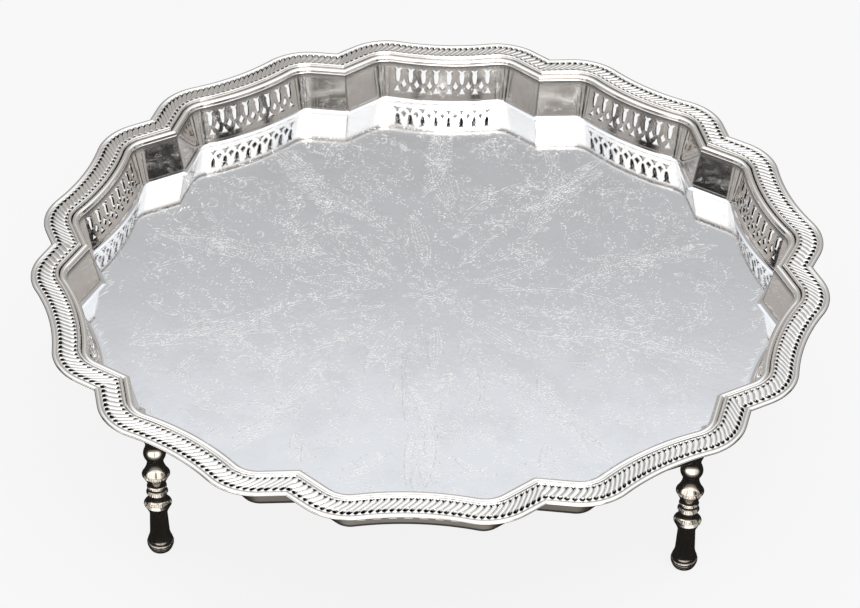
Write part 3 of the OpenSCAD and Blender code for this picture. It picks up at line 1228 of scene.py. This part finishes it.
@dataclass(frozen=True)
class Gallery:
    """Pierced wall of the pan, one panel for each lobe."""

    piercing: Piercing = Piercing()
    steps: tuple[int, int, int] = (16, 13, 10)
    row_count: int = 8
    clear: float = 1.3
    cusp_line: float = 0.7
    # The next three values set the painted shade along the wall's top, under the moulding, and at the
    # panel ends: two widths and how dark it is.
    top_line: float = 0.3
    seam_line: float = 0.05
    edge_shade: float = 0.9

    @property
    def scoop_run(self) -> float:
        """Half the scoop's length along the wall's top."""
        return (PLAN.scoop_r + WALL.top_x) * math.radians(PLAN.scoop_half_angle)

    @property
    def shoulder_run(self) -> float:
        """One shoulder's length along the wall's top."""
        turn = math.radians(PLAN.flank_angle + PLAN.scoop_half_angle)
        return (PLAN.shoulder_r - WALL.top_x) * turn

    @property
    def flank_run(self) -> float:
        """One flank's length along the wall's top."""
        return self._flank_length(np.array(WALL.top_x)).item()

    def _flank_length(self, inset: np.ndarray) -> np.ndarray:
        """Length of the flank at given distances inside the rim."""
        a, r = math.radians(PLAN.flank_angle), PLAN.shoulder_r - inset
        cx, cy = PLAN.shoulder
        x, y = cx + r * math.cos(a), cy + r * math.sin(a)
        half = math.radians(PLAN.lobe_angle / 2)
        cusp = (cx * math.cos(a) + cy * math.sin(a) + r) / math.cos(a - half)
        return np.hypot(cusp * math.cos(half) - x, cusp * math.sin(half) - y)

    def lay(self, flat: np.ndarray, outward: float) -> np.ndarray:
        """Lays flat points on the leaning, curving wall.

        Args:
            flat: Distance along from the lobe's middle, and up from the floor.
            outward: Distance outside the wall's inner side.

        Returns:
            The points, for a lobe whose middle lies along x.
        """
        along, up = flat[:, 0], flat[:, 1]
        lean = math.radians(WALL.lean)
        z = WALL.floor_z + up * math.cos(lean)
        inset = WALL.foot_x - up * math.sin(lean) - outward / math.cos(lean)
        past, side = np.abs(along), np.sign(along)
        a = past / (PLAN.scoop_r + WALL.top_x)
        rho, r = PLAN.scoop_r + inset, PLAN.shoulder_r - inset
        cx, cy = PLAN.shoulder
        flank = math.radians(PLAN.flank_angle)
        b = np.minimum((past - self.scoop_run) / (PLAN.shoulder_r - WALL.top_x)
                       - math.radians(PLAN.scoop_half_angle), flank)
        run = np.maximum(past - self.scoop_run - self.shoulder_run, 0) / self.flank_run
        run = run * self._flank_length(inset)
        on_scoop = past <= self.scoop_run
        x = np.where(on_scoop, PLAN.scoop_x - rho * np.cos(a),
                     cx + r * np.cos(b) - run * math.sin(flank))
        y = np.where(on_scoop, rho * np.sin(a), cy + r * np.sin(b) + run * math.cos(flank))
        return np.stack([x, side * y, z], -1)

    def _flat_panel(self) -> tuple[np.ndarray, list[tuple[int, ...]], list[list[int]]]:
        """Draws one panel flat.

        Returns:
            Its points, its triangles, and its loops, the edge's before the holes'.
        """
        scoop, shoulder = self.scoop_run, self.scoop_run + self.shoulder_run
        half = shoulder + self.flank_run
        low, high = WALL.cove_rise, WALL.slant
        marks = np.concatenate([
            np.linspace(0, scoop, self.steps[0])[:-1],
            np.linspace(scoop, shoulder, self.steps[1])[:-1],
            np.linspace(shoulder, half - self.cusp_line, self.steps[2]), [half]])
        marks = np.concatenate([-marks[:0:-1], marks])
        rows = np.linspace(low, high, self.row_count)
        edge = [(m, low) for m in marks] + [(half, h) for h in rows[1:]]
        edge += [(m, high) for m in marks[-2::-1]] + [(-half, h) for h in rows[-2:0:-1]]
        holes = self.piercing.outlines(WALL.slant)
        inner = np.array([(m, h) for m in marks[1:-1] for h in rows[1:-1]])
        keep = np.ones(len(inner), bool)
        for hole in holes:
            middle = hole.mean(0)
            keep &= ~within(middle + (hole - middle) * self.clear, inner)
        points, loops = list(edge), [list(range(len(edge)))]
        for hole in holes:
            loops.append(list(range(len(points), len(points) + len(hole))))
            points.extend(map(tuple, hole))
        points.extend(map(tuple, inner[keep]))
        return triangulate(points, loops, holes)

    def build(self) -> None:
        """Makes the ten panels."""
        flat, tris, loops = self._flat_panel()
        sides = np.concatenate([self.lay(flat, 0.0), self.lay(flat, WALL.sheet_t)])
        past, n = np.abs(flat[:, 0]), len(flat)
        # Painted shade along the wall's top, under the moulding, and at the panel ends by the cusps.
        on_shaded_edge = (flat[:, 1] > WALL.slant - self.top_line) | (past > past.max() - self.seam_line)
        level = np.tile(np.where(on_shaded_edge, self.edge_shade, 0.0), 2)
        for k in range(1, PLAN.lobes + 1):
            shell = Shell()
            shell.add(turned(sides, PLAN.lobe_angle * (k - 0.5)), [], level)
            shell.faces += [t[::-1] for t in tris]
            shell.faces += [tuple(i + n for i in t) for t in tris]
            for loop in [loops[0]] + [hole[::-1] for hole in loops[1:]]:
                for a, b in zip(loop, loop[1:] + loop[:1]):
                    shell.faces.append((a, b, b + n, a + n))
            panel = shell.piece(f"gallery_wall_{k}", WALL_FINISH, sharp=38)
            settle(panel, TRAY, Slot.WALL, f"gallery_panel_{k}")


# ---------------------------------------------------------------- border


@dataclass(frozen=True)
class Border:
    """Ribbed border: a plain roll, slanting ribs with pits at both ends, and a plain bead.

    Points of its section are a distance in from the rim and a height. What lies along the
    rim is measured in ribs.
    """

    ribs: int = 39
    slant: float = 1.95
    width: float = 14.2
    inner_z: float = 116.3
    crest: Point = (13.4, 119.1)
    crest_r: float = 0.79
    band: tuple[Point, Point] = ((12.3, 118.98), (3.15, 118.62))
    shares: tuple[float, ...] = (0, 0.04, 0.08, 0.13, 0.19, 0.26, 0.34, 0.43, 0.53, 0.63, 0.73,
                                 0.81, 0.87, 0.91, 0.95, 0.98, 1.0)
    roll: Point = (1.58, 118.0)
    roll_size: Point = (1.47, 0.99)
    under: tuple[Point, ...] = ((5.0, 116.72), (10.0, 116.5))
    under_inward: Point = (0.3, 0.7)
    crown: float = 0.26
    groove_half: float = 0.045
    groove_depth: float = 0.34
    pit_depth: float = 4.0
    # Painted shade in the groove between the bead and the ribbed band.
    bead_shade: float = 0.35
    seed: int = 7

    def _rows(self) -> tuple[np.ndarray, np.ndarray, slice]:
        """Lays out the section, from under the bead over the ribbed band to under the roll.

        Returns:
            The point of each row, its share of the way in across the band, and which rows
            are the band's.
        """
        share = np.array(self.shares)
        bead = arc(self.crest, self.crest_r, -10, 175, 9)
        inner, outer = np.array(self.band)
        band = inner + (outer - inner) * share[:, None]
        roll = np.array(arc((0, 0), 1.0, 28, 262, 14)) * self.roll_size + self.roll
        section = np.concatenate([[(self.width, self.inner_z)], bead, band, roll, self.under])
        first = 1 + len(bead)
        inward = np.concatenate([np.ones(first), 1 - share, np.zeros(len(roll)), self.under_inward])
        return section, inward, slice(first, first + len(share))

    def _shear(self, share: np.ndarray) -> np.ndarray:
        """How far the ribs have slanted round the rim, in ribs: a long S."""
        return self.slant * (share - 0.5 * np.sin(2 * np.pi * share) / (2 * np.pi) - 0.5)

    def build(self) -> None:
        """Makes the ten sections."""
        chance = np.random.default_rng(self.seed)
        for k in range(1, PLAN.lobes + 1):
            self._section(k, chance)

    def _ribs(self, inward: np.ndarray, band: slice, chance: np.random.Generator) -> tuple[
            np.ndarray, np.ndarray, np.ndarray]:
        """Shapes the ribs and grooves of one section, and paints shade into the grooves and pits.

        Args:
            inward: Each row's share of the way in across the band.
            band: Which rows are the band's.
            chance: Draws of chance for the unevenness of hand work.

        Returns:
            Place along the rim, rise and painted shade of each point, in rows and columns.
        """
        on_band = np.zeros(len(inward), bool)
        on_band[band] = True
        rib_size = chance.uniform(0.85, 1.12, self.ribs + 1)
        pit_size = chance.uniform(0.75, 1.30, self.ribs + 1)
        pits = 0.33 * bump(inward, 0.12, 0.11) + 0.24 * bump(inward, 0.91, 0.06)
        ends = smooth(inward, 0.0, 0.05) * (1 - smooth(inward, 0.96, 1.0))
        gap = np.where(on_band, self.groove_half + pits, self.groove_half)
        depth = np.where(on_band, self.groove_depth + self.pit_depth * pits, 0.0) * ends
        crown = np.where(on_band, self.crown * ends, 0.0)
        pit = smooth(depth, 0.5, 0.8)
        # Painted shade: dark at the bottoms of the grooves where they run deep, darkest in the pits,
        # and fading up the ribs' sides.
        groove_shade = [np.where(depth > 0.1, 0.45, 0.0) + 0.55 * pit, pit, 0.2 * pit, 0 * pit, 0 * pit]
        rise = [-depth, -0.12 * depth + 0.2 * crown, 0.78 * crown, 0.95 * crown, crown]
        places, rises, groove_shades = [], [], []
        for q in range(self.ribs + 1):
            half = gap * pit_size[q % self.ribs]
            steps = [0 * half, half, half + 0.28 * (0.5 - half), half + 0.62 * (0.5 - half),
                     0 * half + 0.5]
            # From the groove up to the rib's crown, and down its far side, where j is below 0.
            for j in [0] if q == self.ribs else [0, 1, 2, 3, 4, -3, -2, -1]:
                i = abs(j)
                places.append(q + (steps[i] if j >= 0 else 1 - steps[i]))
                rises.append(rise[i] * (rib_size[q % self.ribs] if i > 1 else 1.0))
                groove_shades.append(groove_shade[i])
        return np.stack(places, 1), np.stack(rises, 1), np.stack(groove_shades, 1)

    def _section(self, k: int, chance: np.random.Generator) -> None:
        """Makes one section.

        Args:
            k: Number of the section.
            chance: Draws of chance for the unevenness of hand work.
        """
        section, inward, band = self._rows()
        places, rises, groove_shades = self._ribs(inward, band, chance)
        # Painted shade under the border's inner edge and in the groove between the bead and the ribbed
        # band.
        bead_shades = np.zeros((len(section), 1))
        bead_shades[0], bead_shades[band.start - 1] = 1.0, self.bead_shade
        phase = places + self._shear(inward)[:, None]
        degrees = phase * PLAN.lobe_angle / self.ribs - PLAN.lobe_angle / 2
        angle = np.radians(degrees + PLAN.lobe_angle * (k - 0.5))
        grid = around(PLAN.radius(section[:, :1], degrees), angle, section[:, 1:] + rises)
        shell = Shell()
        shell.grid(grid, np.maximum(groove_shades, bead_shades), wrap_rows=True)
        shell.close_ends(*grid.shape[:2])
        made = shell.piece(f"border_{k}", BORDER_FINISH, sharp=75)
        settle(made, TRAY, Slot.BORDER, f"rim_section_{k}")


def bump(value: np.ndarray, centre: float, width: float) -> np.ndarray:
    """Returns a soft hump round a centre."""
    return np.exp(-((value - centre) / width) ** 2)


def smooth(value: np.ndarray, low: float, high: float) -> np.ndarray:
    """Returns 0 below low, 1 above high and an eased step between."""
    t = np.clip((value - low) / (high - low), 0, 1)
    return t * t * (3 - 2 * t)


@dataclass(frozen=True)
class Moulding:
    """Plain round moulding between the border and the wall."""

    centre: Point = (16.2, 116.8)
    radius: float = 1.9
    border_x: float = 14.2
    border_z: float = 116.9
    # Painted shade in the creases at the moulding's foot, against the wall, and at its top, against
    # the border.
    foot_shade: Triple = (0.6, 0.9, 0.4)
    top_shade: Triple = (0.5, 1.0, 1.0)
    columns: int = 140

    def build(self) -> None:
        """Makes the ten lengths of moulding."""
        foot = math.degrees(math.asin((WALL.top_z - self.centre[1]) / self.radius))
        section = [(self.border_x, WALL.top_z)] + arc(self.centre, self.radius, foot, 176, 18)
        section.append((self.border_x, self.border_z))
        level = np.zeros((len(section), 1))
        # Painted shade in the two creases.
        level[:3, 0], level[-3:, 0] = self.foot_shade, self.top_shade
        half = PLAN.lobe_angle / 2
        grid = PLAN.sweep(section, np.linspace(-half, half, self.columns + 1))
        grid[:, 0, :2] = [spot(PLAN.cusp_r(inset), -half) for inset, _ in section]
        for k in range(1, PLAN.lobes + 1):
            shell = Shell()
            shell.grid(turned(grid, PLAN.lobe_angle * (k - 0.5)), level, wrap_rows=True)
            shell.close_ends(*grid.shape[:2])
            length = shell.piece(f"moulding_{k}", MOULDING_FINISH, sharp=45)
            settle(length, TRAY, Slot.BORDER, f"rim_moulding_{k}")


# ---------------------------------------------------------------- legs


@dataclass(frozen=True)
class LegSet:
    """Four turned legs with their studs, washers and soldered bosses."""

    count: int = 4
    foot_r: float = 6.85
    baluster_r: float = 7.1
    neck_share: float = 0.63
    top_r: float = 6.4
    stud_r: float = 3.0
    bore_r: float = 3.06
    boss_z: float = 89.5
    boss_h: float = 3.0
    boss_r: float = 6.4
    washer_z: Point = (88.65, 89.45)
    washer_r: float = 5.6
    washer_gap: float = 0.08
    top_z: float = 88.6
    reach: float = 10.0
    pitch: float = 1.0
    thread_h: float = 0.5
    tip_h: float = 0.6
    tip_length: float = 1.2
    engraved: tuple[Triple, ...] = (
        (5.6, 0.42, 0.55), (3.9, 0.30, 0.45), (2.3, 0.36, 0.50), (31.9, 0.16, 0.3),
        (51.6, 0.16, 0.3), (40.0, 0.18, 0.3))

    def place(self, n: int) -> Point:
        """Returns where a leg's axis stands, x and y in mm, from its CAD node."""
        low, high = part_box(f"leg_{n}")
        return (low.x + high.x) / 2 / MM, (low.y + high.y) / 2 / MM

    def outline(self) -> list[Point]:
        """Works out the turned outline of a leg.

        Each station is a height, a radius, and how the outline bends on its way to the next
        one: at the start above zero, at the end below zero, and at both ends at zero.

        Returns:
            The outline, as radius and height, from the table up to the bore's mouth.
        """
        f, b = self.foot_r, self.baluster_r
        n = b * self.neck_share
        stations = [
            (0, 0.78 * f, 1), (4.2, f, -1.7), (7.6, 0.86 * f, 1.5), (12, 1.12 * n, -1.6),
            (24.3, n, 1), (30.8, b, 1.25), (34.4, 1.04 * n, -1.5), (35.4, n, 1),
            (38.4, 0.78 * b, 1.2), (40.8, 0.95 * n, -1.5), (42.2, 1.13 * n, 1.2),
            (43.6, 0.96 * n, -1.5), (50.4, b, 1.25), (58.4, 0.93 * n, -1.7), (63.8, 0.81 * b, 0),
            (69.6, 0.98 * n, 0), (76.4, 0.93 * b, 1.3), (77.6, 0.93 * b, 1),
            (79.4, 1.08 * n, -1.4)]
        found = [(f * 0.70, 0.0), (f * 0.745, 0.12)]
        for (z0, r0, _), (z1, r1, bend) in zip(stations, stations[1:]):
            steps = max(3, int((z1 - z0) / 0.28))
            for i in range(0 if z0 else 1, steps):
                t = i / steps
                ease = (1 - math.cos(math.pi * t)) / 2
                if bend:
                    ease = t ** bend if bend > 0 else 1 - (1 - t) ** -bend
                found.append((r0 + (r1 - r0) * ease, z0 + (z1 - z0) * t))
        (last_z, last_r, _), top, r = stations[-1], self.top_z, self.top_r
        found += [(last_r, last_z), (last_r, top - 3.4), (r - 0.12, top - 1.85), (r, top - 1.65),
                  (r, top - 0.25), (r - 0.2, top), (self.bore_r + 0.3, top)]
        return [(r - self._cut(z), z) for r, z in found]

    def _cut(self, z: float) -> float:
        """Returns how deep the engraved rings cut at this height."""
        return sum(d * math.exp(-((z - c) / (w * 0.55)) ** 2) for c, d, w in self.engraved)

    def build(self) -> None:
        """Makes the legs and what holds them."""
        for n in range(1, self.count + 1):
            place = self.place(n)
            self._leg(n, place)
            self._washer(n, place)
            self._boss(n, place)
            self._stud(n, place)

    def _leg(self, n: int, place: Point) -> None:
        """Makes one leg, with its blind bore."""
        outline = self.outline()
        bore = [(self.bore_r, self.top_z - 0.3), (self.bore_r, self.top_z - self.reach + 0.05),
                (0.05, self.top_z - self.reach)]
        # Painted shade in the engraved rings and down the blind bore.
        level = [min(1.0, self._cut(z) * 2.6) for _, z in outline] + [0.5, 1.0, 1.0]
        shell = Shell()
        lathe(shell, outline + bore, place, 112, level)
        leg = shell.piece(f"turned_leg_{n}", LEG_FINISH, sharp=50)
        settle(leg, f"leg_{n}", Slot.LEG, f"leg_{n}")

    def _washer(self, n: int, place: Point) -> None:
        """Makes one washer, with eased edges."""
        low, high = self.washer_z
        r, bore = self.washer_r, self.stud_r + self.washer_gap
        ring = [(bore, low + 0.1), (bore + 0.1, low), (r - 0.15, low), (r, low + 0.15),
                (r, high - 0.15), (r - 0.15, high), (bore + 0.1, high), (bore, high - 0.1)]
        shell = Shell()
        lathe(shell, ring, place, 96, closed=True)
        washer = shell.piece(f"washer_{n}", WASHER_FINISH, sharp=50)
        settle(washer, f"washer_{n}", Slot.STEEL, f"leg_washer_{n}")

    def _boss(self, n: int, place: Point) -> None:
        """Makes one boss, with a soldered fillet against the floor."""
        low, high, r, bore = self.boss_z, self.boss_z + self.boss_h, self.boss_r, self.stud_r
        ring = [(bore, low + 0.15), (bore + 0.15, low), (r - 0.95, low), (r - 0.7, low + 0.2),
                (r - 0.62, low + 1.0), (r - 0.6, high - 0.9), (r - 0.45, high - 0.4),
                (r - 0.02, high - 0.02), (r, high), (bore, high)]
        # Painted shade at the bore's edge and towards the top, where the boss meets the floor's
        # underside.
        level = [0.2, 0, 0, 0, 0, 0.3, 0.6, 0.9, 1, 0.5]
        shell = Shell()
        lathe(shell, ring, place, 96, level, closed=True)
        boss = shell.piece(f"boss_{n}", BRASS_FINISH, sharp=50)
        settle(boss, TRAY, Slot.BRASS, f"leg_boss_{n}")

    def _stud(self, n: int, place: Point) -> None:
        """Makes one stud, with its thread cut as a helix."""
        low, high = self.boss_z - self.reach, self.boss_z + self.boss_h
        segments, per_turn = 48, 10
        z = np.linspace(low, high, int((high - low) / self.pitch * per_turn) + 1)[:, None]
        a = np.linspace(0, 2 * math.pi, segments, endpoint=False)[None, :]
        phase = (z / self.pitch - a / (2 * math.pi)) % 1
        flank = np.clip(np.abs(phase - 0.5) * 2 * 1.25 - 0.1, 0, 1)
        start = np.clip((z - low) / self.tip_length, 0.0, 1.0)
        run_out = np.clip((self.boss_z - 0.1 - z) / 0.4, 0, 1)
        r = np.minimum(self.stud_r - self.thread_h * flank * run_out,
                       self.stud_r - self.tip_h * (1 - start))
        shell = Shell()
        # Painted shade, deeper where the thread cuts in: in the grooves and on the tapered tip.
        shell.grid(around(r, a, z) + (*place, 0), (self.stud_r - r) * 1.2, wrap_columns=True)
        for ring in (0, len(z) - 1):
            shell.face(range(ring * segments, (ring + 1) * segments), back=ring == 0)
        stud = shell.piece(f"stud_{n}", STEEL_FINISH, sharp=45)
        settle(stud, TRAY, Slot.STEEL, f"leg_stud_{n}")


# ---------------------------------------------------------------- studio


PALE = 0.93


@dataclass(frozen=True)
class PaleFloor:
    """Plain pale floor that the salver stands on.

    What polished metal mirrors of it has other tones, those of `mirrored`. They run over
    `front`, from its first to its second distance in front of the middle, in metres.
    """

    size: float = 9.0
    drop: float = 0.0002
    glow: float = 0.92
    front: Point = (0.14, 0.44)
    mirrored: Stops = (
        (0.0, grey(0.015, 0.06)), (0.14, grey(0.05, 0.06)), (0.30, grey(0.24, 0.08)),
        (0.55, grey(0.26, 0.08)), (0.72, grey(0.90, 0.06)), (1.0, grey(1.0, 0.05)))

    def build(self) -> None:
        """Makes the floor and stages it."""
        half = self.size / 2
        mesh = bpy.data.meshes.new("studio_floor")
        mesh.from_pydata([(-half, -half, 0), (half, -half, 0), (half, half, 0), (-half, half, 0)],
                         [], [(0, 1, 2, 3)])
        mesh.materials.append(self._material())
        floor = bpy.data.objects.new("studio_floor", mesh)
        floor.location.z = -self.drop
        bpy.context.scene.collection.objects.link(floor)
        floor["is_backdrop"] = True

    def _material(self) -> bpy.types.Material:
        """Makes the floor's material.

        Returns:
            The material, plain to the camera and toned to reflections.
        """
        material = bpy.data.materials.new("studio_floor")
        bench = NodeBench.fresh(material)
        matt = bench.add("ShaderNodeBsdfDiffuse", Color=(*grey(PALE), 1))
        shine = bench.add("ShaderNodeEmission", Color=(*grey(PALE), 1), Strength=1.0)
        place = bench.add("ShaderNodeTexCoord").outputs["Object"]
        y = bench.add("ShaderNodeSeparateXYZ", Vector=place).outputs["Y"]
        ahead = bench.remap(bench.math("MULTIPLY", y, -1.0), *self.front, smooth=False)
        toned = bench.add("ShaderNodeEmission", Color=bench.ramp(ahead, self.mirrored), Strength=1.0)
        both = bench.by_ray(bench.mix(self.glow, matt, shine), toned)
        bench.put(bench.add("ShaderNodeOutputMaterial"), "Surface", both.outputs[0])
        return material


@dataclass(frozen=True)
class StudioSky:
    """Plain pale surround, which metal mirrors as a studio.

    What metal mirrors is brighter higher up, in other steps on the far side, the near side
    and the flanks. Dark pillars stand in it, up to `pillar_top`. Each has its middle and
    half its width, in degrees from the front, and its depth.
    """

    far_stops: Stops = (
        (0.0, grey(0.10, 0.05)), (0.08, grey(0.42, 0.06)), (0.36, grey(0.48, 0.06)),
        (0.53, grey(0.42)), (0.60, grey(0.56, -0.01)), (0.66, grey(0.86, -0.03)),
        (0.73, grey(1.10, -0.04)), (1.0, grey(1.25)))
    near_stops: Stops = (
        (0.0, grey(0.28, 0.05)), (0.08, grey(0.34, 0.05)), (0.25, grey(0.36, 0.05)),
        (0.37, grey(1.25, 0.05)), (0.60, grey(1.35)), (0.72, grey(1.5)), (1.0, grey(1.3)))
    side_stops: Stops = (
        (0.0, grey(0.20, 0.05)), (0.08, grey(0.42, 0.05)), (0.45, grey(0.40, 0.05)),
        (0.62, grey(0.80)), (0.75, grey(1.4)), (1.0, grey(1.3)))
    near_to_side: Point = (-0.62, -0.54)
    side_to_far: Point = (-0.15, 0.15)
    pillars: tuple[Triple, ...] = (
        (48.0, 8.0, 1.0), (-53.0, 7.0, 1.0), (14.0, 3.5, 0.8), (-13.0, 2.5, 0.75),
        (29.0, 3.0, 1.0), (-31.0, 3.5, 1.0), (68.0, 2.5, 0.9), (-71.0, 2.5, 0.9),
        (101.0, 5.0, 1.0), (-103.0, 5.0, 1.0))
    pillar_top: Point = (0.66, 0.50)
    pillar_tone: Colour = grey(0.012, 0.04)

    def build(self) -> None:
        """Makes the world."""
        world = bpy.data.worlds.new("studio")
        bpy.context.scene.world = world
        bench = NodeBench.fresh(world)
        seen = bench.add("ShaderNodeBackground", Color=self._mirrored(bench), Strength=1.0)
        plain = bench.add("ShaderNodeBackground", Color=(*grey(PALE), 1), Strength=1.0)
        both = bench.by_ray(plain, seen)
        bench.put(bench.add("ShaderNodeOutputWorld"), "Surface", both.outputs[0])

    def _mirrored(self, bench: NodeBench) -> bpy.types.NodeSocket:
        """Paints what metal mirrors.

        Args:
            bench: Where the nodes go.

        Returns:
            Its colour, by direction.
        """
        way = bench.add("ShaderNodeTexCoord").outputs["Generated"]
        x, y, z = bench.add("ShaderNodeSeparateXYZ", Vector=way).outputs
        level = bench.math("SQRT", bench.math("ADD", bench.math("MULTIPLY", x, x),
                                              bench.math("MULTIPLY", y, y)))
        facing = bench.math("DIVIDE", y, bench.math("MAXIMUM", level, 0.02))
        turn = bench.math("ARCTAN2", x, bench.math("MULTIPLY", y, -1.0))
        near, side, far = (bench.ramp(z, stops)
                           for stops in (self.near_stops, self.side_stops, self.far_stops))
        sky = bench.blend(bench.remap(facing, *self.near_to_side), near, side)
        sky = bench.blend(bench.remap(facing, *self.side_to_far), sky, far)
        bands = []
        for middle, half, depth in self.pillars:
            off = bench.math("ABSOLUTE", bench.math("SUBTRACT", turn, math.radians(middle)))
            bands.append(bench.remap(off, math.radians(half), math.radians(half * 0.5), 0.0, depth))
        shade = bench.math("MULTIPLY", bench.greatest(bands), bench.remap(z, *self.pillar_top))
        return bench.blend(shade, sky, (*self.pillar_tone, 1))


@dataclass(frozen=True)
class SoftBox:
    """One soft light panel, which the camera doesn't see."""

    name: str
    place: Triple
    size: Point
    power: float
    aim: Triple = (0.0, 0.0, 0.08)
    warmth: float = 0.0

    def build(self) -> None:
        """Makes the light and turns it to what it lights."""
        light = bpy.data.lights.new(self.name, "AREA")
        light.shape = "RECTANGLE"
        light.size, light.size_y = self.size
        light.energy = self.power
        light.color = grey(1.0, self.warmth)
        panel = bpy.data.objects.new(self.name, light)
        panel.location = self.place
        panel.visible_camera = False
        ahead = Vector(self.aim) - Vector(self.place)
        panel.rotation_euler = ahead.to_track_quat("-Z", "Y").to_euler()
        bpy.context.scene.collection.objects.link(panel)


SOFT_BOXES = (
    SoftBox("ceiling panel", (0.25, -0.75, 1.5), (0.9, 0.6), 9.0),
    SoftBox("left card", (-0.36, -0.42, 0.085), (0.54, 0.14), 0.26, (-0.05, 0.0, 0.085), 0.06),
    SoftBox("right card", (0.13, -0.44, 0.085), (0.34, 0.14), 0.165, (0.08, 0.0, 0.085), 0.06))


@dataclass(frozen=True)
class Camera:
    """Camera above and in front of the salver, aimed by its pitch, roll and turn."""

    place: Triple = (-0.0002, -1.1354, 0.8630)
    rim_drop: float = 0.0019
    pitch: float = 0.6671
    roll: float = 0.0114
    turn: float = 1.77
    lens: float = 116.85
    sensor: float = 36.0
    clip_start: float = 0.05

    def build(self) -> None:
        """Makes the camera and looks through it."""
        rim = Vector((0.0, 0.0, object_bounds()[1].z - self.rim_drop))
        ahead = Vector((0.0, math.cos(self.pitch), -math.sin(self.pitch)))
        right = Vector((1.0, 0.0, 0.0))
        up = right.cross(ahead)
        tipped = right * math.cos(self.roll) + up * math.sin(self.roll)
        upward = up * math.cos(self.roll) - right * math.sin(self.roll)
        facing = Matrix((tipped, upward, -ahead)).transposed().to_4x4()
        about = Matrix.Rotation(math.radians(self.turn), 4, "Z")
        data = bpy.data.cameras.new("camera")
        data.lens = self.lens
        data.sensor_width = self.sensor
        data.clip_start = self.clip_start
        camera = bpy.data.objects.new("camera", data)
        camera.matrix_world = about @ Matrix.Translation(rim + Vector(self.place)) @ facing
        bpy.context.scene.collection.objects.link(camera)
        bpy.context.scene.camera = camera


def main() -> None:
    """Builds the salver, its studio and its camera."""
    logging.basicConfig(level=logging.INFO, format="%(message)s")
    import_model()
    Camera().build()
    PanFloor().build()
    ChasedFloor().build()
    Gallery().build()
    Border().build()
    Moulding().build()
    LegSet().build()
    PaleFloor().build()
    StudioSky().build()
    for soft_box in SOFT_BOXES:
        soft_box.build()
    bpy.context.scene.view_settings.view_transform = "Standard"


if __name__ == "__main__":
    main()
